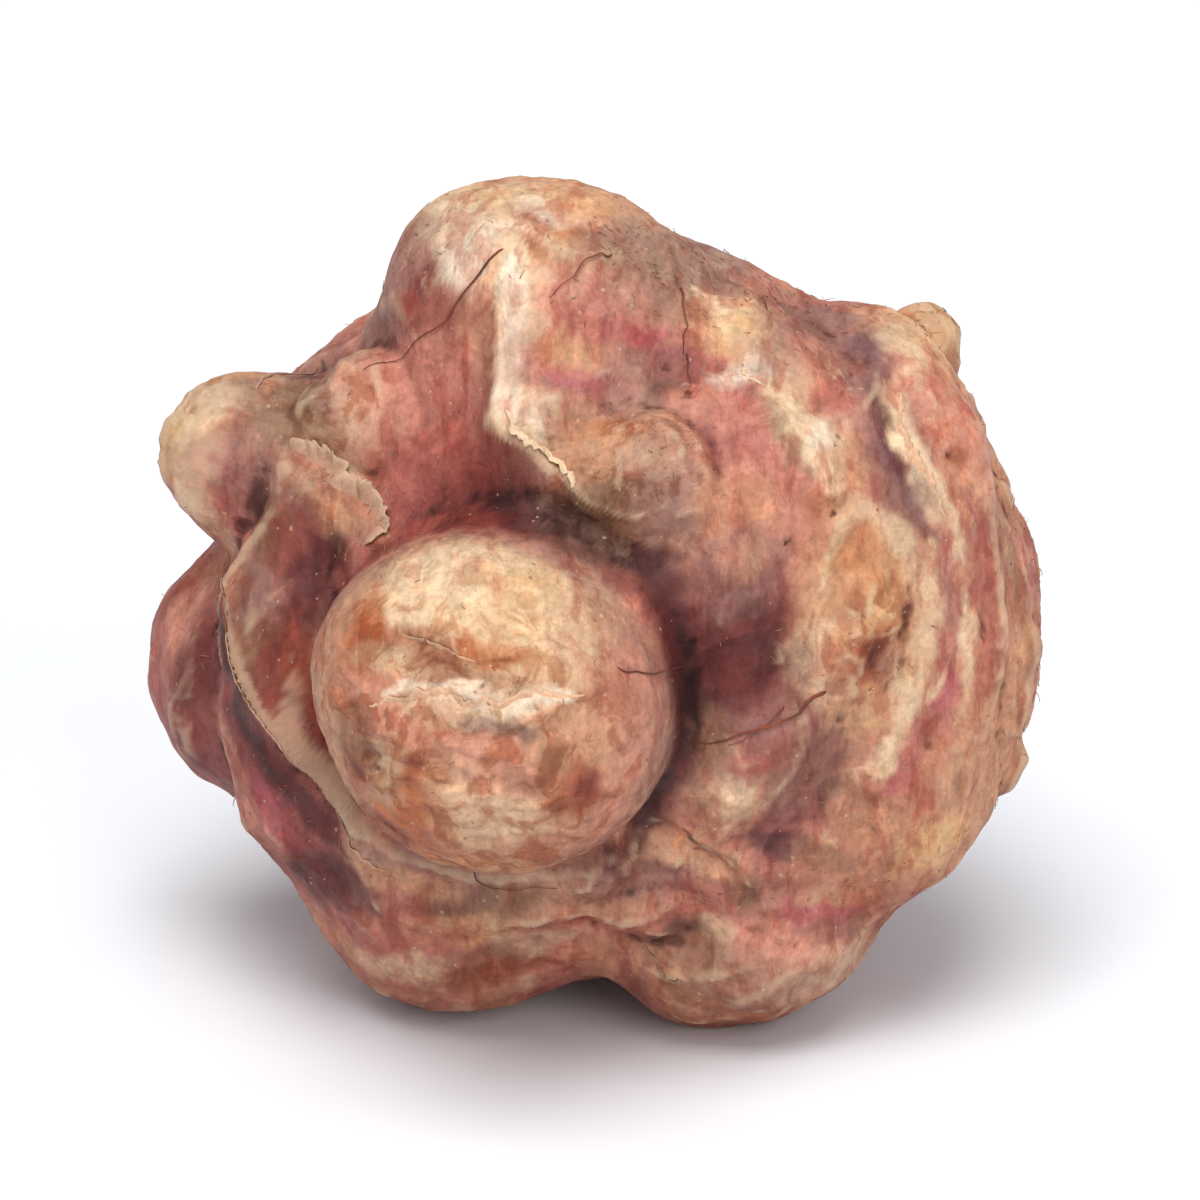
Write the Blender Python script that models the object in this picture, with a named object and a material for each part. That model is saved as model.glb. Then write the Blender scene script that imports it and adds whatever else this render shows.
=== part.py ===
"""Jerusalem artichoke: one whole, knobbly tuber, lying on z = 0.

Metres, +Z up, the front at -Y. The tuber grew as one piece, so it is one solid. It starts as a sphere whose
points are moved by formula: first out to the body's swellings, then up onto each knob, which is a cap of an
egg-shaped ball, and last onto the folds and scar rings of the skin. Places on the skin are given as directions
from the middle of the body: azimuth 0 is the front and 90 the right (+X), elevation 90 is straight up.
"""

from dataclasses import dataclass

import bmesh
import bpy
import numpy as np

MM = 0.001

# Driving dimensions
BODY_RADII = np.array((31.5, 27.0, 29.5)) * MM
BODY_HEIGHT = 32.0 * MM  # of the body's middle above the floor
SPHERE_CUTS = 7  # of the icosphere that the skin starts as, about 82,000 triangles
SKIN_TRIANGLES = 11_400
FLOOR_SIZE = 0.3
LUMPS = ((18 * MM, 1.7 * MM, 7), (9 * MM, 0.9 * MM, 8), (4.5 * MM, 0.35 * MM, 9))  # size, height, seed
WANDER = ((0.55, 0.07, 11), (0.22, 0.025, 12))  # the same, of how far each way strays, in radians


@dataclass
class Swelling:
    """A broad rise of the body, with no edge."""

    azimuth: float
    elevation: float
    width: float  # degrees
    height: float  # mm


@dataclass
class Knob:
    """A side shoot: the cap of an egg-shaped ball, sunk into the body up to its foot."""

    azimuth: float
    elevation: float
    radius: float  # mm, of the ball
    turn: float = 62.0  # degrees from its tip to its foot; past 90 it draws in to a neck
    stretch: float = 1.0  # the ball's length along its axis, over its width
    oval: float = 1.0  # its width along `roll` over its width across it
    roll: float = 0.0  # degrees from level
    lean: tuple = (0.0, 0.0)  # degrees that its axis tips round and up from straight out
    soft: float = 0.16  # how far the fillet at the foot spreads, as a share of the foot
    moat: float = 0.5  # mm, depth of the crease round it
    collar: float = 0.35  # mm, height of the scar ring outside the crease
    eye: float = 0.0  # mm, depth of the pit at its tip


@dataclass
class Fold:
    """A line where one growth ring's skin ends in a lip over the next. It is higher on the left of its way."""

    way: tuple  # (azimuth, elevation) points
    lip: float = 0.5  # mm, the drop at the line
    crest: float = 0.4  # mm, the ridge along it
    width: float = 1.6  # mm


SWELLINGS = (
    Swelling(-62, -36, 30, 3.0),
    Swelling(-92, -10, 30, 1.5),
    Swelling(80, 2, 32, 3.6),
    Swelling(84, 40, 19, 5.0),
    Swelling(60, -42, 28, 5.5),
    Swelling(-10, 74, 26, 3.2),
    Swelling(150, 6, 34, 3.0),
    Swelling(-134, 5, 30, 3.0),
    Swelling(168, -50, 30, 2.0),
)

KNOBS = {
    "lower_left": Knob(-96, -13, 15.5, 50, stretch=1.5, soft=0.4, moat=1.0, collar=0.0),
    "front": Knob(-18.5, 6, 14.5, 100, stretch=1.04, oval=1.03, roll=-35, lean=(-6, -19), soft=0.13, moat=1.1),
    "crown": Knob(-60, 77, 14.8, 60, stretch=1.0, oval=1.12, soft=0.52, moat=0.0, collar=0.0),
    "left": Knob(-85, 26, 8.8, 70, stretch=1.42, oval=0.8, lean=(0, -6), soft=0.4, moat=0.6, collar=0.2),
    "button": Knob(8, 43, 8.4, 48, stretch=1.15, oval=0.9, roll=30, soft=0.34, moat=0.6, collar=0.15),
    "ear": Knob(-66, 45, 6.4, 54, stretch=1.1, soft=0.34, moat=0.6, collar=0.2),
    "oval_eye": Knob(45, 12, 8.8, 42, stretch=1.1, oval=0.66, roll=-12, soft=0.42, moat=0.4, collar=0.5, eye=0.8),
    "shoulder": Knob(58, 58, 10.5, 34, soft=0.45, moat=0.2, collar=0.2),
    "corner": Knob(100, 39, 4.2, 74, oval=1.2, soft=0.5, moat=0.2, collar=0.2, eye=0.4, lean=(0, 20)),
    "cheek": Knob(26, -8, 10.5, 36, oval=1.2, roll=30, soft=0.45, moat=0.5, collar=0.2),
    "front_foot": Knob(47, -53, 15.0, 50, stretch=1.0, oval=1.1, soft=0.42, moat=0.2, collar=0.2),
    "blister": Knob(10, -38, 4.8, 46, oval=1.2, soft=0.44, moat=0.3),
    "right_bud": Knob(78, -18, 3.6, 64, oval=0.8, roll=20, soft=0.5, moat=0.2, collar=0.2, eye=0.3),
    "right_bead": Knob(78, 0, 2.6, 62, oval=0.6, roll=-10, soft=0.55, moat=0.1, collar=0.1),
    "right_pimple": Knob(84, 20, 3.0, 58, oval=0.7, roll=15, soft=0.5, moat=0.1, collar=0.1),
    "left_foot": Knob(-58, -56, 17.0, 46, stretch=1.2, oval=1.1, soft=0.5, moat=0.2, collar=0.2),
    "back_foot": Knob(170, -54, 13.2, 60, stretch=1.4, lean=(0, -8), soft=0.44, moat=0.3, collar=0.2),
    "back_egg": Knob(172, 12, 10.0, 74, stretch=0.9, oval=1.15, roll=20, lean=(-6, 12), soft=0.3, moat=0.9),
    "back_shoulder": Knob(140, 22, 7.4, 50, stretch=1.2, oval=0.75, roll=30, soft=0.42, moat=0.35, collar=0.3),
    "back_left": Knob(-142, 0, 9.8, 58, oval=1.2, roll=30, soft=0.4, moat=0.6),
    "back_button": Knob(-160, 50, 6.0, 46, stretch=1.1, oval=1.25, roll=-20, soft=0.42, moat=0.3, collar=0.3),
    "back_right": Knob(120, -12, 8.4, 50, oval=0.75, roll=20, soft=0.46, moat=0.3, eye=0.5),
    "under": Knob(-140, -36, 5.6, 50, oval=1.2, roll=40, soft=0.44, moat=0.3),
}

FOLDS = (
    Fold(((-74, 10), (-68, 0), (-61, -8), (-53, -16), (-49, -29), (-47, -44), (-38, -58)), lip=1.3, crest=0.7),
    Fold(((-50, 74), (-30, 60), (-24, 50), (-10, 42)), lip=0.4, crest=0.7, width=2.2),
    Fold(((-24, 50), (-12, 55), (10, 58), (26, 48)), lip=-0.4, crest=0.3),
    Fold(((62, 76), (50, 57), (48, 45), (46, 30), (34, 20)), lip=-0.5, crest=0.6, width=2.0),
    Fold(((84, 52), (70, 40), (62, 30), (61, 17), (59, 6), (53, -4), (45, -12)), lip=-0.8, crest=0.6),
    Fold(((78, 40), (72, 26), (69, 14), (66, 2), (58, -10), (46, -24)), lip=-0.5, crest=0.4),
    Fold(((-95, 46), (-82, 36), (-73, 31), (-57, 28), (-49, 20)), lip=0.7, crest=0.5),
    Fold(((-17, -46), (-8, -33), (12, -25), (28, -32), (44, -40)), lip=0.6, crest=0.4),
    Fold(((100, 66), (98, 40), (92, 15), (88, -8), (78, -30), (60, -46)), lip=-0.7, crest=0.4),
    Fold(((140, 64), (142, 40), (138, 12), (136, -12), (140, -34)), lip=-0.6, crest=0.4),
    Fold(((-128, 62), (-112, 36), (-108, 10), (-112, -16), (-118, -40)), lip=0.7, crest=0.4),
    Fold(((-168, 40), (-172, 4), (-165, -20), (-176, -36)), lip=0.6, crest=0.4),
    Fold(((120, 6), (136, -8), (152, -12), (170, -22), (-168, -24), (-150, -22)), lip=-0.6, crest=0.5),
    Fold(((112, -30), (130, -36), (150, -40), (168, -34)), lip=0.5, crest=0.4),
    Fold(((-70, 66), (-100, 62), (-140, 66), (160, 70), (110, 68)), lip=0.5, crest=0.4),
)


RING_WEAR = 0.35  # radians over which the rings round the knobs come and go


def facing(azimuth, elevation):
    """The unit vector that way from the body's middle."""
    a = np.radians(azimuth)
    e = np.radians(elevation)
    return np.stack((np.sin(a) * np.cos(e), -np.cos(a) * np.cos(e), np.sin(e)), axis=-1)


def smooth_step(low, high, x):
    """0 below low, 1 above high, and an even S between them."""
    t = np.clip((x - low) / (high - low), 0.0, 1.0)
    return t * t * (3.0 - 2.0 * t)


def noise(points, size, seed):
    """Values from -1 to 1 that change smoothly over `size`: random numbers on a cubic lattice, eased between."""
    side = 32
    lattice = np.random.default_rng(seed).uniform(-1.0, 1.0, (side, side, side))
    scaled = points / size
    cell = np.floor(scaled).astype(int)
    part = scaled - cell
    part = part * part * (3.0 - 2.0 * part)
    total = np.zeros(len(points))
    for corner in np.ndindex(2, 2, 2):
        share = np.prod(np.where(corner, part, 1.0 - part), axis=1)
        index = (cell + corner) % side
        total += share * lattice[index[:, 0], index[:, 1], index[:, 2]]
    return total


def body_radius(ways):
    """Distance from the middle to the body's skin: an ellipsoid plus its swellings."""
    radius = 1.0 / np.linalg.norm(ways / BODY_RADII, axis=-1)
    for rise in SWELLINGS:
        cosine = ways @ facing(rise.azimuth, rise.elevation)
        spread = np.radians(rise.width)
        radius = radius + rise.height * MM * np.exp((cosine - 1.0) / (1.0 - np.cos(spread)))
    return radius


def knob_axes(knob):
    """Its place on the body, the way that it points, and the two directions across it."""
    centre = facing(knob.azimuth, knob.elevation)
    axis = facing(knob.azimuth + knob.lean[0], knob.elevation + knob.lean[1])
    level = np.cross((0.0, 0.0, 1.0), centre)
    level /= np.linalg.norm(level)
    upward = np.cross(centre, level)
    roll = np.radians(knob.roll)
    along = level * np.cos(roll) + upward * np.sin(roll)
    return centre, axis, along, np.cross(centre, along)


def knob_foot(knob):
    """Angle, seen from the body's middle, between the knob's axis and its foot."""
    centre = facing(knob.azimuth, knob.elevation)
    foot = knob.radius * MM * np.sin(np.radians(knob.turn))
    return np.arcsin(foot / body_radius(centre))


def knob_share(ways, knob):
    """How far each way is from the knob's tip, where 1 is its foot, and the direction across the knob to it."""
    centre, _, along, across = knob_axes(knob)
    angle = np.arccos(np.clip(ways @ centre, -1.0, 1.0))
    flat = np.stack((ways @ along / knob.oval, ways @ across), axis=-1)
    round_flat = np.stack((ways @ along, ways @ across), axis=-1)
    squeeze = np.linalg.norm(flat, axis=-1) / np.maximum(np.linalg.norm(round_flat, axis=-1), 1e-12)
    flat /= np.maximum(np.linalg.norm(flat, axis=-1, keepdims=True), 1e-12)
    return angle * squeeze / knob_foot(knob), flat


def make_room(ways, knob):
    """Crowds the ways round a knob's centre, so that a knob with a neck gets as many points as its skin needs."""
    centre, _, _, _ = knob_axes(knob)
    foot = knob_foot(knob)
    roomy = foot * np.radians(knob.turn) / np.sin(np.radians(knob.turn))
    reach = 2.0 * roomy
    angle = np.arccos(np.clip(ways @ centre, -1.0, 1.0))
    moved = np.interp(angle, (0.0, roomy, reach, np.pi), (0.0, foot, reach, np.pi))
    aside = ways - (ways @ centre)[:, None] * centre
    aside /= np.maximum(np.linalg.norm(aside, axis=1, keepdims=True), 1e-12)
    return centre * np.cos(moved)[:, None] + aside * np.sin(moved)[:, None]


def raise_knob(points, ways, knob):
    """Moves the points within a knob's foot onto its ball: at `turn * share` from the tip, the ball's radius
    times the sine gives the way out from the axis, and the drop from the tip is one less the cosine."""
    centre, axis, along, across = knob_axes(knob)
    share, flat = knob_share(ways, knob)
    radius = knob.radius * MM
    length = radius * knob.stretch
    turn = np.radians(knob.turn)
    body = body_radius(centre)
    foot = knob_foot(knob)
    tip = length * (1.0 - np.cos(turn)) - body * (1.0 - np.cos(foot))
    turned = np.minimum(share * turn, np.pi)
    sideways = flat[:, :1] * along * knob.oval + flat[:, 1:] * across
    sideways -= (sideways @ axis)[:, None] * axis
    out = radius * np.sin(turned)
    up = tip - length * (1.0 - np.cos(turned))
    up -= knob.eye * MM * np.exp(-((turned * radius / (1.3 * MM)) ** 2))
    ball = centre * body + axis * up[:, None] + sideways * out[:, None]
    on_knob = 1.0 - smooth_step(1.0 - knob.soft, 1.0 + knob.soft, share)
    worn = 0.6 + 1.0 * noise(ways, RING_WEAR, int(knob.radius * 10))
    ring = ways * (
        knob.collar * MM * worn * np.exp(-(((share - 1.38) / 0.15) ** 2))
        - knob.moat * MM * worn * np.exp(-(((share - 1.06) / 0.18) ** 2))
    )[:, None]
    return points + on_knob[:, None] * (ball - points) + ring * (1.0 - on_knob)[:, None]


def smooth_way(way, steps=12):
    """Unit vectors close together along a smooth curve through the given places (Catmull-Rom)."""
    knots = facing(*np.array(way, float).T)
    knots = np.vstack((2 * knots[0] - knots[1], knots, 2 * knots[-1] - knots[-2]))
    t = np.linspace(0.0, 1.0, steps, endpoint=False)[:, None]
    spans = [
        b + 0.5 * t * (c - a + t * (2 * a - 5 * b + 4 * c - d + t * (3 * (b - c) + d - a)))
        for a, b, c, d in zip(knots, knots[1:], knots[2:], knots[3:])
    ]
    curve = np.vstack((*spans, knots[-2:-1]))
    return curve / np.linalg.norm(curve, axis=1, keepdims=True)


def fold_height(ways, fold):
    """Height in mm that a fold adds: a bell-shaped crest along it, and a lip that fades off to both sides."""
    curve = smooth_way(fold.way)
    tangent = np.gradient(curve, axis=0)
    nearness = ways @ curve.T
    nearest = nearness.argmax(axis=1)
    away = np.arccos(np.clip(nearness.max(axis=1), -1.0, 1.0)) * BODY_RADII[0] / MM
    leftward = np.cross(curve, tangent)
    leftward /= np.linalg.norm(leftward, axis=1, keepdims=True)
    side = np.einsum("ij,ij->i", ways, leftward[nearest]) * BODY_RADII[0] / MM
    taper = np.sin(np.pi * (nearest + 1) / (len(curve) + 1)) ** 0.6
    crest = fold.crest * np.exp(-((away / fold.width) ** 2))
    lip = fold.lip * np.tanh(side / (0.5 * fold.width)) * np.exp(-away / (3.0 * fold.width))
    return taper * (crest + 0.5 * lip)


def wander(ways):
    """Bends the ways a little to and fro, so that no foot or ring on the skin is a true circle."""
    strayed = ways.copy()
    for size, reach, seed in WANDER:
        strayed += reach * np.stack([noise(ways, size, seed + 10 * k) for k in range(3)], axis=1)
    return strayed / np.linalg.norm(strayed, axis=1, keepdims=True)


def skin_points(ways):
    """Every point of the skin, for as many unit vectors spread over a sphere."""
    ways = wander(ways)
    necked = [knob for knob in KNOBS.values() if knob.turn > 90]
    for knob in necked:
        ways = make_room(ways, knob)
    points = ways * body_radius(ways)[:, None]
    bare = np.ones(len(ways))
    for knob in KNOBS.values():
        points = raise_knob(points, ways, knob)
        share, _ = knob_share(ways, knob)
        bare *= smooth_step(0.85, 1.1, share)
    lift = sum(fold_height(ways, fold) for fold in FOLDS) * MM * bare
    for size, height, seed in LUMPS:
        lift += height * noise(points, size, seed)
    return points + ways * lift[:, None] + (0.0, 0.0, BODY_HEIGHT)


def skin_mesh():
    """An icosphere with its points moved onto the skin."""
    shape = bmesh.new()
    bmesh.ops.create_icosphere(shape, subdivisions=SPHERE_CUTS, radius=1.0)
    mesh = bpy.data.meshes.new("tuber")
    shape.to_mesh(mesh)
    shape.free()
    ways = np.empty(len(mesh.vertices) * 3)
    mesh.vertices.foreach_get("co", ways)
    ways = ways.reshape(-1, 3)
    points = skin_points(ways / np.linalg.norm(ways, axis=1, keepdims=True))
    points[:, :2] -= (points[:, :2].min(axis=0) + points[:, :2].max(axis=0)) / 2  # the middle of its box on x = y = 0
    mesh.vertices.foreach_set("co", points.ravel())
    mesh.shade_smooth()
    return mesh


def skin_material():
    """Matt skin, mauve pink on average."""
    material = bpy.data.materials.new("skin")
    material.use_nodes = True
    shader = material.node_tree.nodes["Principled BSDF"]
    shader.inputs["Base Color"].default_value = (0.42, 0.19, 0.14, 1.0)
    shader.inputs["Roughness"].default_value = 0.62
    shader.inputs["Metallic"].default_value = 0.0
    return material


def new_collection(name):
    collection = bpy.data.collections.new(name)
    bpy.context.scene.collection.children.link(collection)
    return collection


def make_floor(collection):
    """The block below z = 0 that slices the feet flat."""
    shape = bmesh.new()
    bmesh.ops.create_cube(shape, size=FLOOR_SIZE)
    mesh = bpy.data.meshes.new("floor")
    shape.to_mesh(mesh)
    shape.free()
    floor = bpy.data.objects.new("floor", mesh)
    floor.location.z = -FLOOR_SIZE / 2
    floor.hide_render = True
    floor.display_type = "WIRE"
    collection.objects.link(floor)
    return floor


def make_tuber(collection, floor):
    mesh = skin_mesh()
    mesh.materials.append(skin_material())
    tuber = bpy.data.objects.new("tuber", mesh)
    collection.objects.link(tuber)
    fewer = tuber.modifiers.new("fewer triangles", "DECIMATE")
    fewer.ratio = SKIN_TRIANGLES / len(mesh.polygons)
    slice_feet = tuber.modifiers.new("flat feet", "BOOLEAN")
    slice_feet.operation = "DIFFERENCE"
    slice_feet.solver = "EXACT"
    slice_feet.object = floor
    return tuber


def main():
    for thing in list(bpy.data.objects):
        bpy.data.objects.remove(thing)
    floor = make_floor(new_collection("cutters"))
    make_tuber(new_collection("jerusalem artichoke"), floor)


main()
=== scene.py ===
# %% [markdown]
# # A jerusalem artichoke, one whole tuber
#
# The tuber is a swollen underground stem. Side shoots swell out of it as knobs, every growth ring leaves a scar
# with a lip of dry skin, and hair-thin rootlets stay on it after washing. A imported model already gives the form.
# This lesson grows a finer skin over that form, paints it, and adds the rootlets and the torn skin.

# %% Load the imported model
from dataclasses import dataclass

import bpy
import numpy as np
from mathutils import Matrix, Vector
from mathutils.bvhtree import BVHTree


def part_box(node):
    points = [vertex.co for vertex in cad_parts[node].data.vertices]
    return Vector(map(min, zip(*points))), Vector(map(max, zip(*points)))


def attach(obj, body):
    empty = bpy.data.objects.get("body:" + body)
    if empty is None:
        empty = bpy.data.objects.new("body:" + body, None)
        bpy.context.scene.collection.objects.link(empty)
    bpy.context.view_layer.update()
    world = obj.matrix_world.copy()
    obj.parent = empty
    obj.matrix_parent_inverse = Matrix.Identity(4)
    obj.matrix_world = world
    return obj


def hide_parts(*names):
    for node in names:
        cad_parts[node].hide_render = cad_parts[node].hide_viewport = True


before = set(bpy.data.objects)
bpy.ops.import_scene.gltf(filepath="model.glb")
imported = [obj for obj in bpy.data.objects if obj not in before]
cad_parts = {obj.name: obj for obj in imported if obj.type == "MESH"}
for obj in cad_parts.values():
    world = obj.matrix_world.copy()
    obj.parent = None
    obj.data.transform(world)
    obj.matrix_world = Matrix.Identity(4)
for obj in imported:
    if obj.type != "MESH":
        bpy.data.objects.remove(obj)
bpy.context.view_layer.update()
MM = 0.001
node_low, node_high = (np.array(corner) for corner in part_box("tuber"))
print("tuber", ((node_high - node_low) / MM).round(1), "mm")

# %% [markdown]
# ## Places on the tuber
#
# A tuber has no straight edge to measure from, so places are given as directions from the middle of its body, as
# on a globe: azimuth 0 is the front and 90 the right, and elevation 90 is straight up.

# %% Directions


def facing(azimuth, elevation):
    """The unit vector that way: sines and cosines of the two angles, as on a globe."""
    a = np.radians(azimuth)
    e = np.radians(elevation)
    return np.stack((np.sin(a) * np.cos(e), -np.cos(a) * np.cos(e), np.sin(e)), axis=-1)


def unit(vectors):
    """Each row divided by its own length."""
    return vectors / np.maximum(np.linalg.norm(vectors, axis=-1, keepdims=True), 1e-12)


def smooth_step(low, high, x):
    """0 below low, 1 above high, and an even S between them: 3t^2 - 2t^3."""
    t = np.clip((x - low) / (high - low), 0.0, 1.0)
    return t * t * (3.0 - 2.0 * t)


def angle_from(ways, way):
    """The angle between each of the ways and one of them, in radians."""
    return np.arccos(np.clip(ways @ way, -1.0, 1.0))


def swing(ways, centre, angle):
    """The ways moved to such angles from a centre, each along the arc that joins the two."""
    aside = unit(ways - (ways @ centre)[:, None] * centre)
    return centre * np.cos(angle)[:, None] + aside * np.sin(angle)[:, None]


def bell(x):
    """1 at 0, and falling off evenly on both sides."""
    return np.exp(-(x**2))


print("the right end faces", facing(90, 0).round(2))

# %% [markdown]
# ## Smooth random numbers
#
# Nothing on a root is regular. Value noise gives a number to each corner of a cubic lattice and eases between
# them, so the same seed always grows the same tuber.

# %% Noise
LATTICE = 32


def noise(points, size, seed):
    """Values from -1 to 1 that change smoothly over `size`: the eight corner numbers of a point's cube, each
    weighted by how near its corner is, with the nearness eased by 3t^2 - 2t^3."""
    lattice = np.random.default_rng(seed).uniform(-1.0, 1.0, (LATTICE, LATTICE, LATTICE))
    scaled = points / size
    cell = np.floor(scaled).astype(int)
    part = scaled - cell
    part = part * part * (3.0 - 2.0 * part)
    total = np.zeros(len(points))
    for corner in np.ndindex(2, 2, 2):
        share = np.prod(np.where(corner, part, 1.0 - part), axis=1)
        index = (cell + corner) % LATTICE
        total += share * lattice[index[:, 0], index[:, 1], index[:, 2]]
    return total


def cloud(points, size, seed, layers=3):
    """Noise with finer noise on it: each layer has half the size and half the height of the one before."""
    return sum(noise(points, size / 2**k, seed + k) / 2**k for k in range(layers)) / (2.0 - 0.5 ** (layers - 1))


def drift(points, size, seed, step=1):
    """Three noises for each point, as a way and a distance to move it."""
    return np.stack([noise(points, size, seed + step * k) for k in range(3)], axis=1)


print("noise at one place:", noise(np.array([[0.01, 0.02, 0.03]]), 14 * MM, 7).round(3))

# %% [markdown]
# ## The form: body, swellings, knobs and folds
#
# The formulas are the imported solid's, with a few feet and folds drawn softer, so that the skin lies on it. A body
# with no knobs is a lumpy ellipsoid. A knob is the cap of an egg-shaped ball, blended into the body by a fillet,
# with a worn crease and a scar ring round its foot. A fold is a line where one ring's skin ends in a lip over the
# next. Each table below has one row for each of its things, with the values in the order that its class names them.

# %% The body's sizes
BODY_RADII = np.array((31.5, 27.0, 29.5)) * MM
BODY_HEIGHT = 32.0 * MM
SPAN = BODY_RADII[0] / MM  # mm along the skin for each radian, nearly
LUMPS = ((18 * MM, 1.7 * MM, 7), (9 * MM, 0.9 * MM, 8), (4.5 * MM, 0.35 * MM, 9))  # size, height, seed
WANDER = ((0.55, 0.07, 11), (0.22, 0.025, 12))  # the same, of how far each way strays, in radians
MOAT_AT, MOAT_WIDTH = 1.06, 0.18  # of the crease round a knob, where its foot is 1
COLLAR_AT, COLLAR_WIDTH = 1.38, 0.15  # of the scar ring outside the crease
RING_WEAR = 0.35  # radians between worn places on both
EYE_RADIUS = 1.3 * MM  # of the pit at a knob's tip


@dataclass
class Swelling:
    """A broad rise of the body, with no edge."""

    azimuth: float
    elevation: float
    width: float  # degrees
    height: float  # mm


SWELLINGS = [
    Swelling(*row)
    for row in (
        (-62, -36, 30, 3), (-92, -10, 30, 1.5), (80, 2, 32, 3.6), (84, 40, 19, 5), (60, -42, 28, 5.5),
        (-10, 74, 26, 3.2), (150, 6, 34, 3), (-134, 5, 30, 3), (168, -50, 30, 2),
    )
]


def body_radius(ways):
    """Distance from the middle to the body's skin: an ellipsoid plus its swellings, each a bell round its way."""
    radius = 1.0 / np.linalg.norm(ways / BODY_RADII, axis=-1)
    for rise in SWELLINGS:
        cosine = ways @ facing(rise.azimuth, rise.elevation)
        spread = np.radians(rise.width)
        radius = radius + rise.height * MM * np.exp((cosine - 1.0) / (1.0 - np.cos(spread)))
    return radius


print("the body is", round(float(body_radius(facing(90, 0))) / MM, 1), "mm from its middle to the right end")

# %% The knobs


@dataclass
class Knob:
    """A side shoot: the cap of an egg-shaped ball, sunk into the body up to its foot."""

    azimuth: float
    elevation: float
    radius: float  # mm, of the ball
    turn: float = 62.0  # degrees from its tip to its foot; past 90 it draws in to a neck
    stretch: float = 1.0  # the ball's length along its axis, over its width
    oval: float = 1.0  # its width along `roll` over its width across it
    roll: float = 0.0  # degrees from level
    lean: tuple = (0.0, 0.0)  # degrees that its axis tips round and up from straight out
    soft: float = 0.16  # how far the fillet at the foot spreads, as a share of the foot
    moat: float = 0.5  # mm, depth of the crease round it
    collar: float = 0.35  # mm, height of the scar ring outside the crease
    eye: float = 0.0  # mm, depth of the pit at its tip


KNOBS = {
    "lower_left": Knob(-96, -13, 15.5, 50, stretch=1.5, soft=0.4, moat=1.0, collar=0.0),
    "front": Knob(-18.5, 6, 14.5, 100, stretch=1.04, oval=1.03, roll=-35, lean=(-6, -19), soft=0.13, moat=1.1),
    "crown": Knob(-60, 77, 14.8, 60, stretch=1.0, oval=1.12, soft=0.52, moat=0.0, collar=0.0),
    "left": Knob(-85, 26, 8.8, 70, stretch=1.42, oval=0.8, lean=(0, -6), soft=0.4, moat=0.2, collar=0.2),
    "button": Knob(8, 43, 8.4, 48, stretch=1.15, oval=0.9, roll=30, soft=0.34, moat=0.3, collar=0.15),
    "ear": Knob(-66, 45, 6.4, 54, stretch=1.1, soft=0.4, moat=0.1, collar=0.1),
    "oval_eye": Knob(45, 12, 8.8, 42, stretch=0.75, oval=0.66, roll=-12, soft=0.7, moat=0.0, collar=0.0),
    "shoulder": Knob(58, 58, 10.5, 34, soft=0.45, moat=0.2, collar=0.2),
    "corner": Knob(100, 39, 4.2, 74, oval=1.2, soft=0.5, moat=0.2, collar=0.2, eye=0.4, lean=(0, 20)),
    "cheek": Knob(26, -8, 10.5, 36, oval=1.2, roll=30, soft=0.6, moat=0.1, collar=0.1),
    "front_foot": Knob(47, -53, 15.0, 50, stretch=1.0, oval=1.1, soft=0.42, moat=0.2, collar=0.2),
    "blister": Knob(10, -38, 4.8, 46, oval=1.2, soft=0.5, moat=0.1),
    "right_bud": Knob(78, -18, 3.6, 54, oval=0.8, roll=20, soft=0.8, moat=0.0, collar=0.1, eye=0.3),
    "right_bead": Knob(78, 0, 2.6, 50, oval=0.7, roll=-10, soft=0.9, moat=0.0, collar=0.0),
    "right_pimple": Knob(84, 20, 3.0, 50, oval=0.7, roll=15, soft=0.8, moat=0.0, collar=0.1),
    "left_foot": Knob(-58, -56, 17.0, 46, stretch=1.2, oval=1.1, soft=0.5, moat=0.2, collar=0.2),
    "back_foot": Knob(170, -54, 13.2, 60, stretch=1.4, lean=(0, -8), soft=0.44, moat=0.3, collar=0.2),
    "back_egg": Knob(172, 12, 10.0, 74, stretch=0.9, oval=1.15, roll=20, lean=(-6, 12), soft=0.3, moat=0.9),
    "back_shoulder": Knob(140, 22, 7.4, 50, stretch=1.2, oval=0.75, roll=30, soft=0.42, moat=0.35, collar=0.3),
    "back_left": Knob(-142, 0, 9.8, 58, oval=1.2, roll=30, soft=0.4, moat=0.6),
    "back_button": Knob(-160, 50, 6.0, 46, stretch=1.1, oval=1.25, roll=-20, soft=0.42, moat=0.3, collar=0.3),
    "back_right": Knob(120, -12, 8.4, 50, oval=0.75, roll=20, soft=0.46, moat=0.3, eye=0.5),
    "under": Knob(-140, -36, 5.6, 50, oval=1.2, roll=40, soft=0.44, moat=0.3),
}

# %% [markdown]
# ### Knobs with a neck
#
# The big front knob draws in to a neck, so its skin is longer than the patch of body that it stands on. The
# directions round it are crowded together first, which gives its skin as many points as the rest has.

# %% Shaping a knob


def knob_axes(knob):
    """Its place on the body, the way that it points, and the two directions across it."""
    centre = facing(knob.azimuth, knob.elevation)
    axis = facing(knob.azimuth + knob.lean[0], knob.elevation + knob.lean[1])
    level = unit(np.cross((0.0, 0.0, 1.0), centre))
    upward = np.cross(centre, level)
    roll = np.radians(knob.roll)
    along = level * np.cos(roll) + upward * np.sin(roll)
    return centre, axis, along, np.cross(centre, along)


def knob_foot(knob):
    """Angle, seen from the body's middle, between the knob's axis and its foot."""
    foot = knob.radius * MM * np.sin(np.radians(knob.turn))
    return np.arcsin(foot / body_radius(facing(knob.azimuth, knob.elevation)))


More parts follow.
